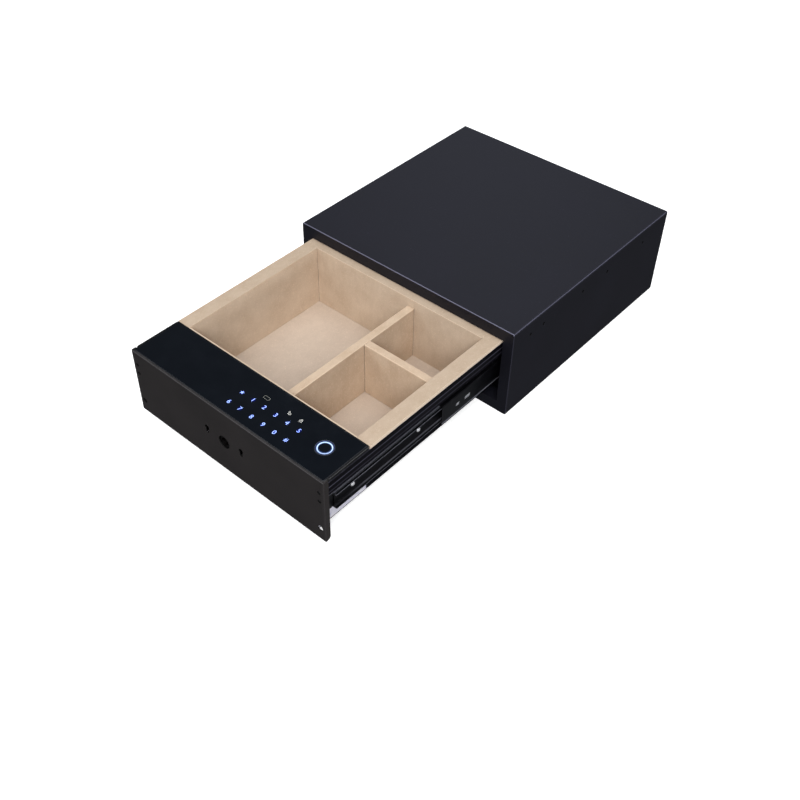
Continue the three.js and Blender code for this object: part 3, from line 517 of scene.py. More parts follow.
def cell_sleeve(name, cell):
    """Bands of one colour each, from the bare foot of a cell to its bare head."""
    material, bench = new_finish(name)
    spot = place(bench)
    low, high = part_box(cell)
    share = span(bench, measure(bench, spot, "Z"), low.z, high.z, 0, 1)
    bare, print_colour, upper_print = rgb(190, 192, 196), rgb(46, 58, 92), rgb(196, 200, 206)
    bands = [(0.0, bare), (0.03, print_colour), (0.70, upper_print), (0.95, bare)]
    sleeve = bench.node("ShaderNodeValToRGB", {"stops": bands}, {"Fac": share})
    sleeve.socket.node.color_ramp.interpolation = "CONSTANT"
    scuff = cloud(bench, spot, 2 * MM, detail=3)
    close_finish(
        bench,
        Base_Color=sleeve,
        Roughness=0.22 + 0.15 * scuff,
        Metallic=span(bench, share, 0.69, 0.71, 0.3, 0.9),
    )
    return material


control_finish = circuit_board("control_board_finish", "control_board", "Y")
touch_finish = circuit_board("touch_board_finish", "touch_board", "Z")
battery_cell = cell_sleeve("battery_cell", "battery_1")
print("boards and cells:", control_finish.name, touch_finish.name, battery_cell.name)

# %% [markdown]
# The lit pieces are plain light. The ring and the digits have a blue core that is nearly white, and the glow round
# them fades to nothing, so its strength hangs on an attribute of the mesh and not on a place. The signs are grey
# print with a little light behind.

# %% Light
def glow(name, colour, strength, core, fade):
    """Light that fades with the reach attribute, from 0 at its middle to 1 at its rim."""
    material, bench = new_finish(name)
    reach = bench.node("ShaderNodeAttribute", {"attribute_name": "reach"}, output="Fac")
    near = (1 - reach) ** fade
    close_finish(
        bench,
        Base_Color=rgb(8, 10, 16),
        Emission_Color=blend(bench, near, colour, core),
        Emission_Strength=strength,
        Alpha=near,
        Roughness=0.5,
        Specular_IOR_Level=0.0,
    )
    return material


def lamp(name, edge, core, strength, grain_size=3 * MM, base=rgb(150, 180, 230)):
    """A lit surface, a shade uneven as a light guide is."""
    material, bench = new_finish(name)
    uneven = cloud(bench, place(bench), grain_size, detail=2)
    close_finish(
        bench,
        Base_Color=base,
        Roughness=0.3 + 0.1 * uneven,
        Emission_Color=blend(bench, span(bench, uneven, 0.3, 0.7, 0, 1), edge, core),
        Emission_Strength=strength,
    )
    return material


ring_light = lamp("ring_light", rgb(176, 208, 255), rgb(216, 234, 255), 1.25)
digit_light = lamp("digit_light", rgb(100, 122, 255), rgb(155, 178, 255), 1.35, grain_size=6 * MM)
battery_print = lamp("battery_print", rgb(128, 130, 122), rgb(150, 152, 144), 0.5, base=rgb(120, 120, 115))
padlock_print = lamp("padlock_print", rgb(215, 215, 208), rgb(240, 240, 236), 1.0, base=rgb(170, 170, 165))
ring_glow = glow("ring_glow", rgb(16, 40, 150), 0.9, rgb(150, 190, 255), 1.5)
digit_glow = glow("digit_glow", rgb(12, 20, 150), 1.0, rgb(26, 44, 226), 2.5)
print("lights:", ring_light.name, digit_light.name, battery_print.name, padlock_print.name)

# %% [markdown]
# A frame piece arrives as loose triangles with hard edges. Each visible one is copied and welded into one skin with
# whole flat faces, which is what a bevel needs. Some bends are already in the frame. They are found by their shape, as
# narrow strips that turn a little from face to face, and marked for the finishes to read.

# %% Weld a piece and mark its bends
WELD = 0.002 * MM
FLAT = math.radians(0.4)
SMOOTH = math.radians(4)
SHARP = math.radians(40)


def welded_skin(node, sliver=0.0):
    """A frame piece's triangles as one closed skin. Faces thinner than a sliver are taken out."""
    source = nodes[node].data
    skin = bmesh.new()
    corners = [skin.verts.new(v.co) for v in source.vertices]
    for polygon in source.polygons:
        skin.faces.new([corners[i] for i in polygon.vertices])
    bmesh.ops.remove_doubles(skin, verts=skin.verts, dist=WELD)
    if sliver:
        bmesh.ops.dissolve_degenerate(skin, dist=sliver, edges=skin.edges)
    bmesh.ops.dissolve_limit(skin, angle_limit=FLAT, verts=skin.verts, edges=skin.edges)
    return skin


def edge_length(edge):
    return (edge.verts[0].co - edge.verts[1].co).length


def middle(part):
    """The middle of an edge or a face."""
    return sum((v.co for v in part.verts), Vector()) / len(part.verts)


def longer_than(length):
    """The test for edges that are longer than a length."""
    return lambda edge: edge_length(edge) > length


def always(share):
    """The same answer for every edge or face. As a test, 1 takes them all and 0 takes none."""
    return lambda part: share


everywhere, nowhere = always(1.0), always(0.0)


def layer(skin, name):
    return skin.loops.layers.float.get(name) or skin.loops.layers.float.new(name)


def put_mark(skin, faces, name, share):
    """Marks faces. The share says how strongly, from 0 to 1, by where a face is."""
    marks = layer(skin, name)
    for face in faces:
        for corner in face.loops:
            corner[marks] = share(face)


def mark_bends(skin, share):
    """Marks the bends that the frame already has."""
    narrow = 2.2 * MM
    bends = []
    for face in skin.faces:
        longest = max(edge_length(e) for e in face.edges)
        turning = [
            e for e in face.edges
            if len(e.link_faces) == 2 and e.is_convex and edge_length(e) > 0.5 * longest
            and SMOOTH < e.calc_face_angle() < SHARP
        ]
        if turning and face.calc_area() < narrow * longest:
            bends.append(face)
    put_mark(skin, bends, "fold", share)


print("ready to weld and mark")

# %% [markdown]
# Real sheet is folded round a tool and real board is wrapped, so no edge is ever perfectly sharp, and that small
# radius is what catches the light. The bevel could be a modifier, but made in mesh code it tells which faces are new,
# and those are marked too. Where a piece is too thin for a bevel, the corners of a strip lean back into the solid
# instead. The same step opens punched holes, which are a little wider on the real safe than in the frame.

# %% Round folds and open holes
def round_folds(skin, radius, steps, chosen, name="fold", share=everywhere):
    """Bevels the sharp outer edges that the test chooses, and marks the new faces."""
    layer(skin, name)
    edges = [
        e for e in skin.edges
        if len(e.link_faces) == 2 and e.is_convex and e.calc_face_angle() > SHARP and chosen(e)
    ]
    made = bmesh.ops.bevel(
        skin, geom=edges, offset=radius, offset_type="OFFSET", segments=steps, profile=0.5,
        affect="EDGES", clamp_overlap=False,
    )
    put_mark(skin, made["faces"], name, share)


def lean_back(walls, depth, chosen):
    """Moves the chosen corners of some walls into the solid. Slivers don't count, as their normals are unsure."""
    sliver_area = 0.01 * MM * MM
    corners = {}
    for face in walls:
        for vert in face.verts:
            if chosen(vert.co) and face.calc_area() > sliver_area:
                corners.setdefault(vert, []).append(face.normal.copy())
    for vert, normals in corners.items():
        outward = sum(normals, Vector()).normalized()
        vert.co -= outward * (depth / outward.dot(normals[0]))


def widen_holes(skin, walls, by, flats):
    """Opens holes a little. The flats round them are cut evenly first: a long thin triangle there would fold over."""
    cut = set(bmesh.ops.triangulate(skin, faces=flats)["faces"])
    faces = [face for face in skin.faces if face in cut]
    inside = [edge for edge in skin.edges if edge.link_faces and all(face in cut for face in edge.link_faces)]
    bmesh.ops.beautify_fill(skin, faces=faces, edges=inside)
    lean_back(walls, by, everywhere)


print("ready to round and open")

# %% [markdown]
# A skin then becomes a mesh with smooth shading, and a weighted normal keeps its flats flat. That is a modifier, so it
# sits on a draft, and the finished piece takes the draft's shape. One call does the whole row of steps. It also hides
# the frame piece that the new one stands for, and sets what the new one rides on.

# %% Stand a finished piece in for a frame piece
def link(piece):
    scene.collection.objects.link(piece)
    return piece


def plain_mesh(draft, name):
    """Turns a draft with modifiers into a plain mesh object, and removes the draft."""
    graph = bpy.context.evaluated_depsgraph_get()
    mesh = bpy.data.meshes.new_from_object(draft.evaluated_get(graph), preserve_all_data_layers=True, depsgraph=graph)
    mesh.name = name
    bpy.data.objects.remove(draft)
    return link(bpy.data.objects.new(name, mesh))


def in_order(parts, where):
    """Sorts corners or faces by where they are, because a bevel may leave them in another order on each run."""
    rank = {part: k for k, part in enumerate(sorted(parts, key=where))}
    parts.sort(key=lambda part: rank[part])


def finished(name, skin, finish):
    """A skin as an object, with smooth shading that keeps its flats flat."""
    in_order(skin.verts, lambda vert: tuple(vert.co))
    in_order(skin.edges, lambda edge: tuple(middle(edge)))
    in_order(skin.faces, lambda face: (*middle(face), *face.normal))
    crease = math.radians(50)
    for face in skin.faces:
        face.smooth = True
    for edge in skin.edges:
        edge.smooth = len(edge.link_faces) == 2 and edge.calc_face_angle() < crease
    mesh = bpy.data.meshes.new(name)
    skin.to_mesh(mesh)
    skin.free()
    mesh.materials.append(finish)
    draft = link(bpy.data.objects.new(name + "_draft", mesh))
    draft.modifiers.new("even shading", "WEIGHTED_NORMAL").keep_sharp = True
    return plain_mesh(draft, name)


def dress(
    node, finish, radius, steps=3, chosen=everywhere, seams=None, share=everywhere, bends=everywhere, extra=None,
    sliver=0.0,
):
    """Stands a rounded and finished copy in for a frame piece.

    Seams are a radius and the edges that it is for. Share and bends say how strongly new and old folds are marked,
    and extra may mark or cut more on the skin before the folds are rounded.
    """
    skin = welded_skin(node, sliver)
    mark_bends(skin, bends)
    if extra:
        extra(skin)
    if seams:
        round_folds(skin, seams[0], 2, seams[1], "seam")
    round_folds(skin, radius, steps, chosen, share=share)
    piece = finished(f"{node}_finished", skin, finish)
    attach(piece, nodes[node]["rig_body"])
    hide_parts(node)
    return piece


def give_finish(finish, *names):
    """Gives frame pieces that stay as they are their finish."""
    for name in names:
        nodes[name].material_slots[0].material = finish


def both(name):
    return f"{name}_right", f"{name}_left"


print("ready to dress", len(nodes), "pieces")

# %% [markdown]
# The casing is one sheet, folded round, with its front edges turned in. Its long folds are already in the frame, so
# only the outline of its front and back gets a radius here, about the thickness of the sheet. A bevel that stops
# halfway round a corner folds over itself, so the test takes that outline whole, bends and all. The bends and the
# rounded outline carry a painted highlight, strongest along the top. The row of small holes in each side is opened,
# and their walls are painted dark, a painted shade. The back panel sits inside the casing, and the brackets that hold
# the slides have the pan's paint.

# %% Casing
casing_low, casing_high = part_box("casing_shell")
FLUSH = 0.05 * MM
OUTER_ZONE = 1.4 * MM
SHEET_ZONE = 2.1 * MM
LARGEST_HOLE_WALL = 6 * MM * MM
SIDE_HOLE_GROWTH = 0.7 * MM


def casing_outline(edge):
    """The outer edges of the casing's front and back, not those of the openings."""
    ends = [v.co for v in edge.verts]
    flush = all(p.y < casing_low.y + FLUSH for p in ends) or all(p.y > casing_high.y - FLUSH for p in ends)
    outer = all(
        abs(p.x) > casing_high.x - OUTER_ZONE
        or p.z > casing_high.z - OUTER_ZONE or p.z < casing_low.z + OUTER_ZONE
        for p in ends
    )
    return flush and outer


def open_side_holes(skin):
    """Marks the walls of the small holes in the casing's sides for painted shade, and widens the holes."""
    walls = [
        face for face in skin.faces
        if abs(face.normal.x) < 0.1 and abs(middle(face).x) > casing_high.x - OUTER_ZONE
        and face.calc_area() < LARGEST_HOLE_WALL
    ]
    put_mark(skin, walls, "hole", everywhere)
    inner = [
        face for face in skin.faces
        if face.normal.x * middle(face).x < 0 and abs(face.normal.x) > 0.99
        and abs(middle(face).x) > casing_high.x - SHEET_ZONE
    ]
    widen_holes(skin, walls, SIDE_HOLE_GROWTH, inner)


def top_bend_highlight(face):
    """How strongly a bend of the casing carries a painted highlight: one thin line along the middle of its upper
    bends.
    """
    return 0.5 if 0.6 < face.normal.z < 0.87 else 0.05


# The rounded outline is a painted highlight, strong along the top and faint elsewhere.
casing = dress(
    "casing_shell", casing_paint, 0.9 * MM, 4, casing_outline, extra=open_side_holes,
    share=lambda face: 0.9 if middle(face).z > casing_high.z - 2 * MM else 0.12, bends=top_bend_highlight,
)
dress("back_panel", casing_paint, 0.7 * MM, 3)
for name in both("slide_bracket"):
    dress(name, pan_paint, 0.5 * MM, 2)
print("casing:", len(casing.data.polygons), "faces")

# %% [markdown]
# The drawer front is a flat plate with its ends folded back, and the pan behind it is one folded sheet. The front's
# folds are in the frame, and only its lower edge is rounded here. A painted highlight runs along its top bend. The
# rims of punched holes stay sharp, as a punch leaves them, and their walls are painted dark, a painted shade. The
# pan's long folds are rounded and carry a painted highlight, and its foot stays dark, without one.

# %% Drawer front, pan and housing
front_low, front_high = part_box("drawer_front")
pan_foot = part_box("drawer_pan")[0].z
BORDER = 2 * MM
FRONT_SHEET = 1.5 * MM
FRONT_HOLE_GROWTH = 0.4 * MM


def open_punched_holes(skin):
    """Marks the walls of the front plate's holes for painted shade, and widens the holes."""
    walls = [
        face for face in skin.faces
        if abs(face.normal.y) < 0.1 and middle(face).y < front_low.y + FRONT_SHEET
        and abs(middle(face).x) < front_high.x - BORDER
        and front_low.z + BORDER < middle(face).z < front_high.z - BORDER
    ]
    put_mark(skin, walls, "hole", everywhere)
    widen_holes(skin, walls, FRONT_HOLE_GROWTH, [face for face in skin.faces if abs(face.normal.y) > 0.99])


def front_bend_highlight(face):
    """How strongly a bend of the front plate carries a painted highlight: one thin line along its top, and hardly
    anything elsewhere.
    """
    spot = middle(face)
    if spot.z > front_high.z - BORDER:
        return 0.9 if spot.y < front_low.y + 0.5 * MM else 0.05
    return 0.12


front = dress(
    "drawer_front", front_paint, 0.3 * MM, 2,
    lambda edge: edge_length(edge) > 100 * MM and middle(edge).z < front_low.z + 1 * MM,
    share=always(0.2), bends=front_bend_highlight, extra=open_punched_holes,
)
# The pan's rounded folds carry a painted highlight, except at its shaded foot.
pan = dress(
    "drawer_pan", pan_paint, 0.4 * MM, 3, longer_than(60 * MM),
    share=lambda face: 0.0 if middle(face).z < pan_foot + 3 * MM else 0.8,
)
housing = dress("lock_housing", zinc_plate, 0.3 * MM, 2, longer_than(8 * MM))
print("front, pan, housing:", [len(o.data.polygons) for o in (front, pan, housing)])

# %% [markdown]
# Each slide is three rolled strips that run in each other. Their sections are in the frame, races and all, and here
# they are only welded and shaded, so that a race reads as a smooth groove. A grey painted highlight runs along both
# edges of the drawer member, and along a thin strip low on the side of the middle member.

# %% Slide members
inner_low, inner_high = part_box("slide_inner_right")
INNER_CENTRE = (inner_low.z + inner_high.z) / 2
FLANGE = 8 * MM
HIGHLIGHT_STRIP = (4.0 * MM, 5.8 * MM)


def cut_level(skin, height):
    """Cuts every face of a skin at one height."""
    whole = skin.verts[:] + skin.edges[:] + skin.faces[:]
    bmesh.ops.bisect_plane(skin, geom=whole, plane_co=(0, 0, height), plane_no=(0, 0, 1))


def highlight_strip_line(skin):
    """Cuts the outer face of a member along a line low on its side, and marks that strip for a painted highlight."""
    foot = min(v.co.z for v in skin.verts)
    strip_low, strip_high = foot + HIGHLIGHT_STRIP[0], foot + HIGHLIGHT_STRIP[1]
    cut_level(skin, strip_low)
    cut_level(skin, strip_high)
    strip = [face for face in skin.faces if abs(face.normal.x) > 0.7 and strip_low < middle(face).z < strip_high]
    put_mark(skin, strip, "fold", always(0.9))


def flange_highlight(face):
    """How strongly an edge of the drawer member carries a painted highlight: most at its upper flange, less at its
    lower one.
    """
    rise = middle(face).z - INNER_CENTRE
    return 0.9 if rise > FLANGE else 0.45 if rise < -FLANGE else 0.1


for part, folds, bends, extra in (
    ("slide_outer", always(0.1), nowhere, None),
    ("slide_middle", always(0.1), nowhere, highlight_strip_line),
    ("slide_inner", flange_highlight, flange_highlight, None),
):
    for name in both(part):
        member = dress(name, slide_black, 0.35 * MM, 2, longer_than(3 * MM), share=folds, bends=bends, extra=extra)
    print(part, len(member.data.polygons), "faces")
give_finish(rubber, *both("slide_bumper"))
give_finish(bright_steel, *both("outer_ball_cage"), *both("inner_ball_cage"))

# %% [markdown]
# What repeats is grown with Geometry Nodes: one shape is described once, with named sizes, and set down on points.
# One helper makes a tree with those named inputs, and another sets them on a modifier. A modifier knows its inputs by
# an identifier and not by their name, so the name is looked up in the tree first.

# %% Trees that grow repeated parts
def new_tree(name, sizes):
    """A tree with geometry in and out, the named sizes and a material, and a bench and its group input."""
    tree = bpy.data.node_groups.new(name, "GeometryNodeTree")
    inputs = [("Geometry", "Geometry"), *((size, "Float") for size in sizes), ("Material", "Material")]
    for label, kind in inputs:
        tree.interface.new_socket(name=label, in_out="INPUT", socket_type=f"NodeSocket{kind}")
    tree.interface.new_socket(name="Geometry", in_out="OUTPUT", socket_type="NodeSocketGeometry")
    bench = Bench(tree)
    given = bench.node("NodeGroupInput")
    return bench, lambda size: bench.other(given, size)


def set_down(bench, points, shape, **sockets):
    """A shape as an instance on each point."""
    return bench.node("GeometryNodeInstanceOnPoints", None, {"Points": points, "Instance": shape, **sockets})


def end_tree(bench, shape, given):
    """Makes the instances real and gives them their material, then ends the tree."""
    shape = bench.node("GeometryNodeRealizeInstances", None, {0: shape})
    shape = bench.node("GeometryNodeSetMaterial", None, {"Geometry": shape, "Material": given("Material")})
    bench.node("NodeGroupOutput", None, {0: shape})


def grow(name, bench, points, sizes, finish):
    """Sets a tree's shape down on points, as one plain mesh."""
    mesh = bpy.data.meshes.new(name)
    mesh.from_pydata([tuple(p) for p in points], [], [])
    draft = link(bpy.data.objects.new(name + "_draft", mesh))
    modifier = draft.modifiers.new(name, "NODES")
    modifier.node_group = bench.tree
    values = {**sizes, "Material": finish}
    for item in bench.tree.interface.items_tree:
        if item.in_out == "INPUT" and item.name in values:
            modifier[item.identifier] = values[item.name]
    return plain_mesh(draft, name)


def vector(bench, x=0.0, y=0.0, z=0.0):
    return bench.node("ShaderNodeCombineXYZ", None, {0: x, 1: y, 2: z})


print("ready to grow")

# %% [markdown]
# Four pan head screws a side hold the slides to the drawer. Each is a low cylinder and a cone, with a cross recess cut
# by two bars. Their places are read from the frame's own screws, which they stand for, so they can't drift from the
# holes under them.

# %% Slide screws
HEAD_HEIGHT = 1.7 * MM
RECESS = 0.75 * MM


def boolean(bench, operation, sockets):
    settings = {"operation": operation, "solver": "MANIFOLD"}
    return bench.node("GeometryNodeMeshBoolean", settings, sockets, output="Mesh")


def screw_tree():
    bench, given = new_tree("pan_head_screw", ["Head Radius", "Head Height", "Shank", "Recess", "Turn"])
    radius, rise, shank, recess = given("Head Radius"), given("Head Height"), given("Shank"), given("Recess")

    def lifted(kind, sizes, centre_z):
        part = bench.node(kind, None, sizes, output="Mesh")
        return bench.node("GeometryNodeTransform", None, {"Geometry": part, "Translation": vector(bench, z=centre_z)})

    disc = {"Vertices": 36, "Radius": radius, "Depth": 0.5 * rise}
    dome = {"Vertices": 36, "Radius Top": 0.58 * radius, "Radius Bottom": 0.95 * radius, "Depth": 0.6 * rise}
    stem = {"Vertices": 36, "Radius": 0.5 * radius, "Depth": shank + 0.2 * rise}
    parts = [
        lifted("GeometryNodeMeshCylinder", disc, 0.25 * rise),
        lifted("GeometryNodeMeshCone", dome, 0.4 * rise),
        lifted("GeometryNodeMeshCylinder", stem, 0.1 * rise - 0.5 * shank),
    ]
    bar_sizes = [vector(bench, across * recess, along * recess, 1.3 * rise) for across, along in ((1, 3.6), (3.6, 1))]
    bars = [lifted("GeometryNodeMeshCube", {"Size": size}, 1.1 * rise) for size in bar_sizes]
    body = boolean(bench, "UNION", {"Mesh 2": parts})
    body = boolean(bench, "DIFFERENCE", {"Mesh 1": body, "Mesh 2": boolean(bench, "UNION", {"Mesh 2": bars})})
    body = bench.node("GeometryNodeMergeByDistance", None, {"Geometry": body, "Distance": 0.01 * MM})
    turn = bench.node("FunctionNodeEulerToRotation", None, {0: vector(bench, y=given("Turn"))})
    end_tree(bench, set_down(bench, given("Geometry"), body, Rotation=turn), given)
    return bench


screws = screw_tree()
for hand, side in (("right", 1), ("left", -1)):
    names = [f"slide_screw_{i}_{hand}" for i in range(1, 5)]
    seats = []
    for name in names:
        low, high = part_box(name)
        outer = high.x if side > 0 else low.x
        seats.append(Vector((outer - side * HEAD_HEIGHT, (low.y + high.y) / 2, (low.z + high.z) / 2)))
    low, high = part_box(names[0])
    sizes = {
        "Head Radius": (high.y - low.y) / 2,
        "Head Height": HEAD_HEIGHT,
        "Shank": high.x - low.x - HEAD_HEIGHT,
        "Recess": RECESS,
        "Turn": side * math.pi / 2,
    }
    row = grow(f"slide_screws_{hand}", screws, seats, sizes, chrome)
    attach(row, "drawer")
    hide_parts(*names)
    print(row.name, len(row.data.polygons), "faces")

# %% [markdown]
# The balls of a slide are what it runs on. The frame holds each cage with rough balls in it, and a smooth ball is set
# round each one. A row has one pitch, so a single tree with a start, a pitch and a count makes all of them: a line of
# points is set down on the first ball of each row, and a ball on each point of the line.

# %% Bearing balls
def ball_tree():
    bench, given = new_tree("bearing_balls", ["Ball Radius", "Pitch", "Count"])
    line_sizes = {"Count": given("Count"), "Offset": vector(bench, y=given("Pitch"))}
    line = bench.node("GeometryNodeMeshLine", None, line_sizes, output="Mesh")
    rows = bench.node("GeometryNodeRealizeInstances", None, {0: set_down(bench, given("Geometry"), line)})
    ball_sizes = {"Segments": 20, "Rings": 12, "Radius": given("Ball Radius")}
    ball = bench.node("GeometryNodeMeshUVSphere", None, ball_sizes, output="Mesh")
    balls = bench.node("GeometryNodeSetShadeSmooth", None, {"Geometry": set_down(bench, rows, ball)})
    end_tree(bench, balls, given)
    return bench


balls = ball_tree()
BALLS_PER_ROW = 6
CAGE_END = 10 * MM
BALL_RADIUS = {"outer_ball_cage": 1.6 * MM, "inner_ball_cage": 1.9 * MM}
for cage, radius in BALL_RADIUS.items():
    for name in both(cage):
        low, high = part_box(name)
        # The balls stand at the free ends of the cage's flanges, away from its web.
        free_end = low.x + radius if name.endswith("right") else high.x - radius
        start = low.y + CAGE_END
        pitch = (high.y - low.y - 2 * CAGE_END) / (BALLS_PER_ROW - 1)
        firsts = [(free_end, start, low.z + radius), (free_end, start, high.z - radius)]
        sizes = {"Ball Radius": radius, "Pitch": pitch, "Count": float(BALLS_PER_ROW)}
        row = grow(f"{name}_balls", balls, firsts, sizes, bright_steel)
        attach(row, nodes[name]["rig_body"])
        print(row.name, [round(v / MM, 2) for v in firsts[0]])

# %% [markdown]
# The glass lies in a thin black bezel, and the fingerprint reader stands in a hole near its right end. The reader is
# a plastic ring, a ring of light and a dark disc. The glass edge has a fine ground bevel, and the bezel a chamfer just
# outside it. Both are painted lighter, a painted highlight, which draws two bright lines round the glass. The bezel's
# rear outline comes with a few slivers in it, which are taken out first.

# %% Glass, bezel and reader
bezel_low, bezel_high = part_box("glass_bezel")
bezel_centre = (bezel_low + bezel_high) / 2


def chamfer_outline(skin):
    """Leans in a strip along the bezel's outline. A bevel would cross itself behind the glass, where it is thin."""
    width = 0.3 * MM
    cut_level(skin, bezel_high.z - width)
    strip = [
        face for face in skin.faces
        if abs(face.normal.z) < 0.5 and middle(face).z > bezel_high.z - width
        and face.normal.dot(middle(face) - bezel_centre) > 0
    ]
    lean_back(strip, width, lambda spot: spot.z > bezel_high.z - 0.01 * MM)
    # The chamfer is marked for a painted highlight, strongest along the long sides.
    put_mark(skin, strip, "fold", lambda face: 0.9 if abs(middle(face).x) > bezel_high.x - 1 * MM else 0.45)


dress("glass_bezel", bezel_plastic, 0, 1, nowhere, bends=always(0.1), extra=chamfer_outline, sliver=0.15 * MM)
dress("keypad_glass", black_glass, 0.4 * MM, 3)
dress("reader_ring", black_plastic, 0.25 * MM, 3)
dress("reader_light", ring_light, 0.2 * MM, 2)
dress("reader_disc", black_glass, 0.25 * MM, 3)
give_finish(black_plastic, "reader_body")
disc_low, disc_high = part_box("reader_disc")
reader = (disc_low + disc_high) / 2
print("reader at", [round(v / MM, 1) for v in reader])

# %% [markdown]
# The light of the reader spills onto the rings beside it. A renderer makes some of that itself, but the soft halo that
# an eye and a lens add isn't in the scene. A thin flat ring above the reader stands for it: each point of it carries
# how far it is from the light, and the glow fades with that.

# %% Flat pieces that carry a glow
def lit_piece(name, skin, finish):
    """A skin as a piece of the drawer that gives light."""
    mesh = bpy.data.meshes.new(name)
    skin.to_mesh(mesh)
    skin.free()
    mesh.materials.append(finish)
    piece = link(bpy.data.objects.new(name, mesh))
    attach(piece, "drawer")
    return piece


def flat_ring(name, centre, rings, finish):
    """A flat ring from radii and their reach, 0 in the light and 1 where it ends."""
    turns = 96
    skin = bmesh.new()
    loops = []
    for radius, _ in rings:
        loops.append([
            skin.verts.new(centre + Vector((radius * math.cos(a), radius * math.sin(a), 0)))
            for a in (2 * math.pi * i / turns for i in range(turns))
        ])
    for inner, outer in zip(loops, loops[1:]):
        for i in range(turns):
            skin.faces.new([inner[i], outer[i], outer[(i + 1) % turns], inner[(i + 1) % turns]])
    piece = lit_piece(name, skin, finish)
    reach = piece.data.attributes.new("reach", "FLOAT", "POINT")
    for k, (_, share) in enumerate(rings):
        for i in range(turns):
            reach.data[k * turns + i].value = share


# How far each ring lies outside the light's edge, in millimetres, and its reach.
HALO_RINGS = [
    (-3.6, 1), (-2.3, 0.65), (-1.8, 0.3), (-1.5, 0.3), (-1.3, 1), (-0.7, 1),
    (-0.4, 0.3), (0.2, 0.5), (1.2, 0.9), (1.7, 0.4), (2.2, 1),
]
light_low, light_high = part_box("reader_light")
light_radius = (light_high.x - light_low.x) / 2
halo_centre = Vector((reader.x, reader.y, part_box("reader_ring")[1].z + 0.05 * MM))
flat_ring("reader_halo", halo_centre, [(light_radius + out * MM, share) for out, share in HALO_RINGS], ring_glow)
print("halo round a light of", round(light_radius / MM, 2), "mm radius")

# %% [markdown]
# Under the glass are twelve touch keys in two rows, and three small signs above them. On the real one they are clear
# windows in the black print with a lamp behind. Here each is a very thin plate on the glass. A text object gives the
# digit, it is made a mesh, and then it is fitted to the height of the real digit and set down at its place.

# %% Digits
GLASS_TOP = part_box("keypad_glass")[1].z
PLATE = 0.06 * MM
UPPER_ROW, LOWER_ROW, SIGN_ROW = -505.0 * MM, -527.3 * MM, -491.0 * MM
STAR_KEY = -6.6
UPPER_KEYS = {"1": 14.1, "2": 34.7, "3": 55.3, "4": 75.9, "5": 96.6}
LOWER_KEYS = {"6": -7.0, "7": 13.1, "8": 34.5, "9": 55.3, "0": 75.7, "#": 96.0}
DIGIT_HEIGHT = 6.6 * MM
HASH_HEIGHT = 0.92 * DIGIT_HEIGHT


def lit_digit(sign, centre, height):
    """A key's sign as a thin plate on the glass, with strokes a hair thinner than the font's."""
    text = bpy.data.curves.new("sign", "FONT")
    text.body = sign
    text.extrude = 0.01
    text.offset = -0.003
    draft = link(bpy.data.objects.new("sign_draft", text))
    bpy.context.view_layer.update()
    piece = plain_mesh(draft, f"key_{sign}".replace("#", "hash"))
    low = Vector([min(v.co[k] for v in piece.data.vertices) for k in range(3)])
    high = Vector([max(v.co[k] for v in piece.data.vertices) for k in range(3)])
    scale = height / (high.y - low.y)
    centre_of_text = (low + high) / 2
    for v in piece.data.vertices:
        shift = (v.co - centre_of_text) * scale
        v.co = (centre.x + shift.x, centre.y + shift.y, GLASS_TOP + PLATE * (2 if v.co.z > centre_of_text.z else 1))
    skin = bmesh.new()
    skin.from_mesh(piece.data)
    bmesh.ops.remove_doubles(skin, verts=skin.verts, dist=WELD)
    bmesh.ops.recalc_face_normals(skin, faces=skin.faces)
    skin.to_mesh(piece.data)
    skin.free()
    piece.data.materials.clear()
    piece.data.materials.append(digit_light)
    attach(piece, "drawer")


key_centres = []
for row_y, keys in ((UPPER_ROW, UPPER_KEYS), (LOWER_ROW, LOWER_KEYS)):
    for sign, x in keys.items():
        centre = Vector((x * MM, row_y, GLASS_TOP))
        lit_digit(sign, centre, HASH_HEIGHT if sign == "#" else DIGIT_HEIGHT)
        key_centres.append(centre + Vector((0, 0, PLATE / 2)))
print(len(key_centres), "digits, with the hash")

# %% [markdown]
# The font's own star is small and hasn't the five broad points of this key, so the star is drawn: ten corners round
# a middle, in turn far out and near in, as a plate as thin as the digits.

# %% Star key
STAR_OUTER, STAR_INNER = 3.5 * MM, 1.15 * MM


def star_plate(centre, outer, inner):
    """The star as a closed plate."""
    skin = bmesh.new()
    rings = []
    for z in (GLASS_TOP + PLATE, GLASS_TOP + 2 * PLATE):
        turn = [math.pi / 2 + math.pi * k / 5 for k in range(10)]
        reach = [outer if k % 2 == 0 else inner for k in range(10)]
        rings.append([
            skin.verts.new((centre.x + r * math.cos(a), centre.y + r * math.sin(a), z)) for r, a in zip(reach, turn)
        ])
    skin.faces.new(rings[0][::-1])
    skin.faces.new(rings[1])
    for k in range(10):
        skin.faces.new([rings[0][k], rings[0][(k + 1) % 10], rings[1][(k + 1) % 10], rings[1][k]])
    lit_piece("key_star", skin, digit_light)


star_centre = Vector((STAR_KEY * MM, UPPER_ROW, GLASS_TOP))
star_plate(star_centre, STAR_OUTER, STAR_INNER)
key_centres.append(star_centre + Vector((0, 0, PLATE / 2)))
print(len(key_centres), "keys")

# %% [markdown]
# Each digit has a small blue glow round it. All twelve are the same disc, so a tree grows them on the digits' places.
# It stores how far each point is from the middle of its own disc before the discs are made real, because afterwards
# nothing on the mesh would tell which disc a point belongs to.

# %% Glow round the digits
GLOW_RADIUS = 5.0 * MM


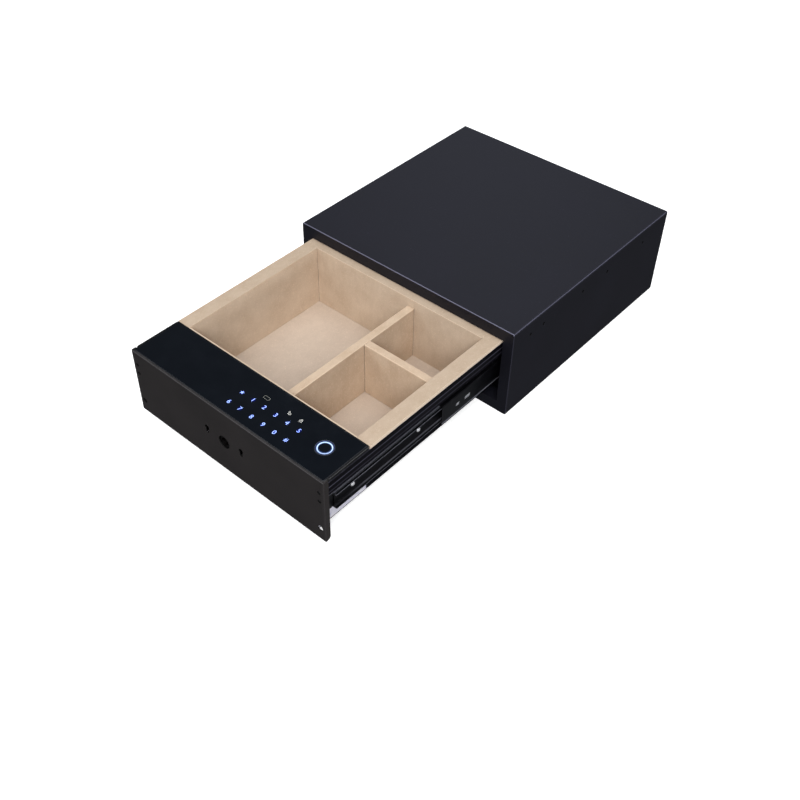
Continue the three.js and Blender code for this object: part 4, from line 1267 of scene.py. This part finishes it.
def glow_tree():
    bench, given = new_tree("digit_glow", ["Radius"])
    sizes = {"Vertices": 32, "Radius": given("Radius")}
    disc = bench.node("GeometryNodeMeshCircle", {"fill_type": "TRIANGLE_FAN"}, sizes, output="Mesh")
    spot = bench.node("GeometryNodeInputPosition")
    away = bench.node("ShaderNodeVectorMath", {"operation": "LENGTH"}, {0: spot}, output="Value")
    disc = bench.node(
        "GeometryNodeStoreNamedAttribute",
        {"data_type": "FLOAT", "domain": "POINT"},
        {"Geometry": disc, "Name": "reach", "Value": away / given("Radius")},
    )
    end_tree(bench, set_down(bench, given("Geometry"), disc), given)
    return bench


glows = grow("key_glows", glow_tree(), key_centres, {"Radius": GLOW_RADIUS}, digit_glow)
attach(glows, "drawer")
print("glows:", len(glows.data.polygons), "faces")

# %% [markdown]
# The three signs say how full the battery is and whether the safe is open or shut. They are line drawings: a line of
# one width along a path, in grey. A short function turns a path into a thin plate, and each sign is two or three
# paths.

# %% Battery and padlock signs
LINE = 0.36 * MM


def arc(cx, cy, radius, start, end, steps=14):
    turns = [math.radians(start + (end - start) * i / steps) for i in range(steps + 1)]
    return [(cx + radius * math.cos(a), cy + radius * math.sin(a)) for a in turns]


def rounded_box(width, height, corner, cx=0.0, cy=0.0):
    points = []
    for sx, sy, start in ((1, -1, -90), (1, 1, 0), (-1, 1, 90), (-1, -1, 180)):
        points += arc(cx + sx * (width / 2 - corner), cy + sy * (height / 2 - corner), corner, start, start + 90, 4)
    return points + points[:1]


def line_sign(name, paths, centre, finish):
    """Paths in millimetres round the sign's centre, drawn as thin plates with one line width."""
    skin = bmesh.new()
    low, high = GLASS_TOP + PLATE, GLASS_TOP + 2 * PLATE
    for path in paths:
        closed = (Vector(path[0]) - Vector(path[-1])).length < 1e-6
        points = [Vector(p) * MM for p in (path[:-1] if closed else path)]
        count = len(points)
        sides = []
        for i, point in enumerate(points):
            before = points[i - 1] if closed or i else point
            after = points[(i + 1) % count] if closed or i < count - 1 else point
            along = (after - before).normalized()
            across = Vector((-along.y, along.x)) * LINE / 2
            left, right = point - across, point + across
            sides.append([
                skin.verts.new((centre.x + p.x, centre.y + p.y, z))
                for p, z in ((left, low), (right, low), (right, high), (left, high))
            ])
        for i in range(count if closed else count - 1):
            first, second = sides[i], sides[(i + 1) % count]
            for k in range(4):
                skin.faces.new([first[k], second[k], second[(k + 1) % 4], first[(k + 1) % 4]])
        if not closed:
            skin.faces.new(sides[0])
            skin.faces.new(sides[-1][::-1])
    bmesh.ops.recalc_face_normals(skin, faces=skin.faces)
    lit_piece(name, skin, finish)


battery_sign = [rounded_box(9.4, 4.6, 0.8), [(5.35, -0.9), (5.35, 0.9)]]
padlock_body = [rounded_box(3.8, 2.8, 0.4, cy=-0.9), [(0, -1.3), (0, -0.5)]]
shut_shackle = [[(-1.1, 0.74), *arc(0, 1.5, 1.1, 180, 0), (1.1, 0.74)]]
open_shackle = [[(-1.1, 0.74), *arc(-2.2, 1.5, 1.1, 0, 180), (-3.3, 1.1)]]
for name, x, paths, finish in (
    ("sign_battery", 24.5, battery_sign, battery_print),
    ("sign_open", 66.5, padlock_body + open_shackle, padlock_print),
    ("sign_shut", 86.4, padlock_body + shut_shackle, padlock_print),
):
    line_sign(name, paths, Vector((x * MM, SIGN_ROW, 0)), finish)
    print(name, "drawn", x, "mm from the middle")

# %% [markdown]
# The lining is board wrapped in flock, so every edge is soft to the touch. A wide bevel on the dividers gives that,
# and where a board meets the next one its upright edge is marked as a dark seam. The floor board and the dividers get
# their own shade of the same flock, set lighter or darker for how the light falls on them, which is painted light.

# %% Lining
lining_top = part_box("lining_side_right")[1].z
RIM_SIDE = 179 * MM


def upright(edge):
    first, second = (v.co for v in edge.verts)
    return abs(first.z - second.z) > 0.8 * (first - second).length


def level(edge):
    return not upright(edge)


def on_rim(edge):
    """The edges of a board's upper face."""
    return all(v.co.z > lining_top - 0.05 * MM for v in edge.verts)


def mark_rim(skin):
    """The rim's top is painted a little darker, a painted shade, and its outer side lighter, a painted light."""
    top = [face for face in skin.faces if face.normal.z > 0.9 and middle(face).z > lining_top - 0.1 * MM]
    put_mark(skin, top, "top", everywhere)
    side = [face for face in skin.faces if abs(face.normal.x) > 0.9 and abs(middle(face).x) > RIM_SIDE]
    put_mark(skin, side, "rim", everywhere)


for name in both("lining_side"):
    dress(name, wall_flock, 0.3 * MM, 3, on_rim, extra=mark_rim)
dress("lining_front", wall_flock, 0.7 * MM, 3)
dress("lining_back", wall_flock, 0.6 * MM, 3, on_rim, seams=(0.5 * MM, upright), extra=mark_rim)
dress("lining_floor", floor_flock, 0.2 * MM, 2)
for name in ("main_divider", "cross_divider"):
    dress(name, divider_flock, 1.1 * MM, 4, level, seams=(0.9 * MM, upright))
print("lining dressed")

# %% [markdown]
# Behind the front plate are the lock and its electronics. They show only when the bolt moves or through the round
# hole, so they keep their shapes from the frame and get their finishes.

# %% Lock, boards and batteries
give_finish(lock_metal, "key_cylinder", "key_plug")
give_finish(bright_steel, "lock_bolt", "lock_motor", "bolt_strike")
give_finish(black_plastic, "lock_case", "battery_box", "battery_cover")
give_finish(control_finish, "control_board")
give_finish(touch_finish, "touch_board")
give_finish(battery_cell, *[f"battery_{i}" for i in range(1, 5)])
print("inner pieces finished")

# %% [markdown]
# The studio is a pale floor that is lit from below a little, as a light table is, so that no hard shadow lies on it.
# Soft light comes from above and from the front, and a low strip grazes the slides. The sky is kept dim: a dark
# painted top and black glass show what is behind them, and a bright sky would turn both grey. What stood round the
# real one was dark too, apart from the sheet under it, so the floor shows neither in its gloss nor in its sides.

# %% Floor and light
FLOOR_SIZE = 30
FLOOR_DROP = 0.3 * MM


def floor_finish():
    material, bench = new_finish("studio_floor")
    soft = cloud(bench, place(bench), 0.5, detail=2)
    pale = blend(bench, soft, (0.9, 0.9, 0.9, 1), (0.93, 0.93, 0.93, 1))
    close_finish(bench, Base_Color=pale, Roughness=0.9, Emission_Color=pale, Emission_Strength=0.6)
    return material


def studio_floor(size, height):
    mesh = bpy.data.meshes.new("studio_floor")
    half = size / 2
    corners = [(half * x, half * y, height) for x, y in ((-1, -1), (1, -1), (1, 1), (-1, 1))]
    mesh.from_pydata(corners, [], [(0, 1, 2, 3)])
    mesh.materials.append(floor_finish())
    return link(bpy.data.objects.new("studio_floor", mesh))


def soft_box(name, place_at, look_at, size, power, colour=(1, 1, 1)):
    light = bpy.data.lights.new(name, "AREA")
    light.shape = "RECTANGLE"
    light.size, light.size_y = size
    light.energy = power
    light.color = colour
    stand = link(bpy.data.objects.new(name, light))
    stand.location = place_at
    stand.rotation_euler = (Vector(look_at) - Vector(place_at)).to_track_quat("-Z", "Y").to_euler()


floor = studio_floor(FLOOR_SIZE, cad_low.z - FLOOR_DROP)
floor.visible_glossy = False
floor.visible_diffuse = False
floor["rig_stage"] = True
world = bpy.data.worlds.new("studio")
world.use_nodes = True
sky = world.node_tree.nodes["Background"].inputs
sky["Color"].default_value = (0.9, 0.94, 1.0, 1)
sky["Strength"].default_value = 0.12
scene.world = world
soft_box("top_light", (0.3, -0.4, 2.7), (0.3, -0.4, 0), (2.4, 2.4), 44)
soft_box("key_light", (1.9, -2.4, 2.5), (0, -0.3, 0.1), (2.2, 1.8), 112)
soft_box("back_light", (-2.0, 3.0, 2.6), (-1.6, 2.4, 0), (2.2, 1.6), 27, (0.78, 0.82, 1.0))
soft_box("front_light", (-1.8, -2.8, 1.6), (0, -0.3, 0.1), (2.0, 1.6), 26)
soft_box("side_light", (2.6, -0.5, 0.2), (0, -0.4, 0.1), (1.8, 0.3), 20)
scene.view_settings.view_transform = "Standard"
print("studio lit")

# %% [markdown]
# The camera stands to the right of the front, well above the safe. Its place, its aim and its lens were worked out
# from the corners of the casing, the drawer and the tray, so that they fall on the same points of the picture.

# %% Camera
lens = bpy.data.cameras.new("camera")
lens.lens = 46.326
lens.sensor_width = 36
lens.shift_x, lens.shift_y = 0.0325, -0.025
lens.clip_start, lens.clip_end = 0.05, 60
camera = link(bpy.data.objects.new("camera", lens))
camera.location = (0.76294, -1.10732, 1.03998)
camera.rotation_euler = (math.radians(90 - 42.7353), 0, math.radians(41.956))
scene.camera = camera
print("camera at", tuple(round(v, 3) for v in camera.location))

# %% [markdown]
# Last, the box of the dressed safe is measured.

# %% Size
low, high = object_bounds()
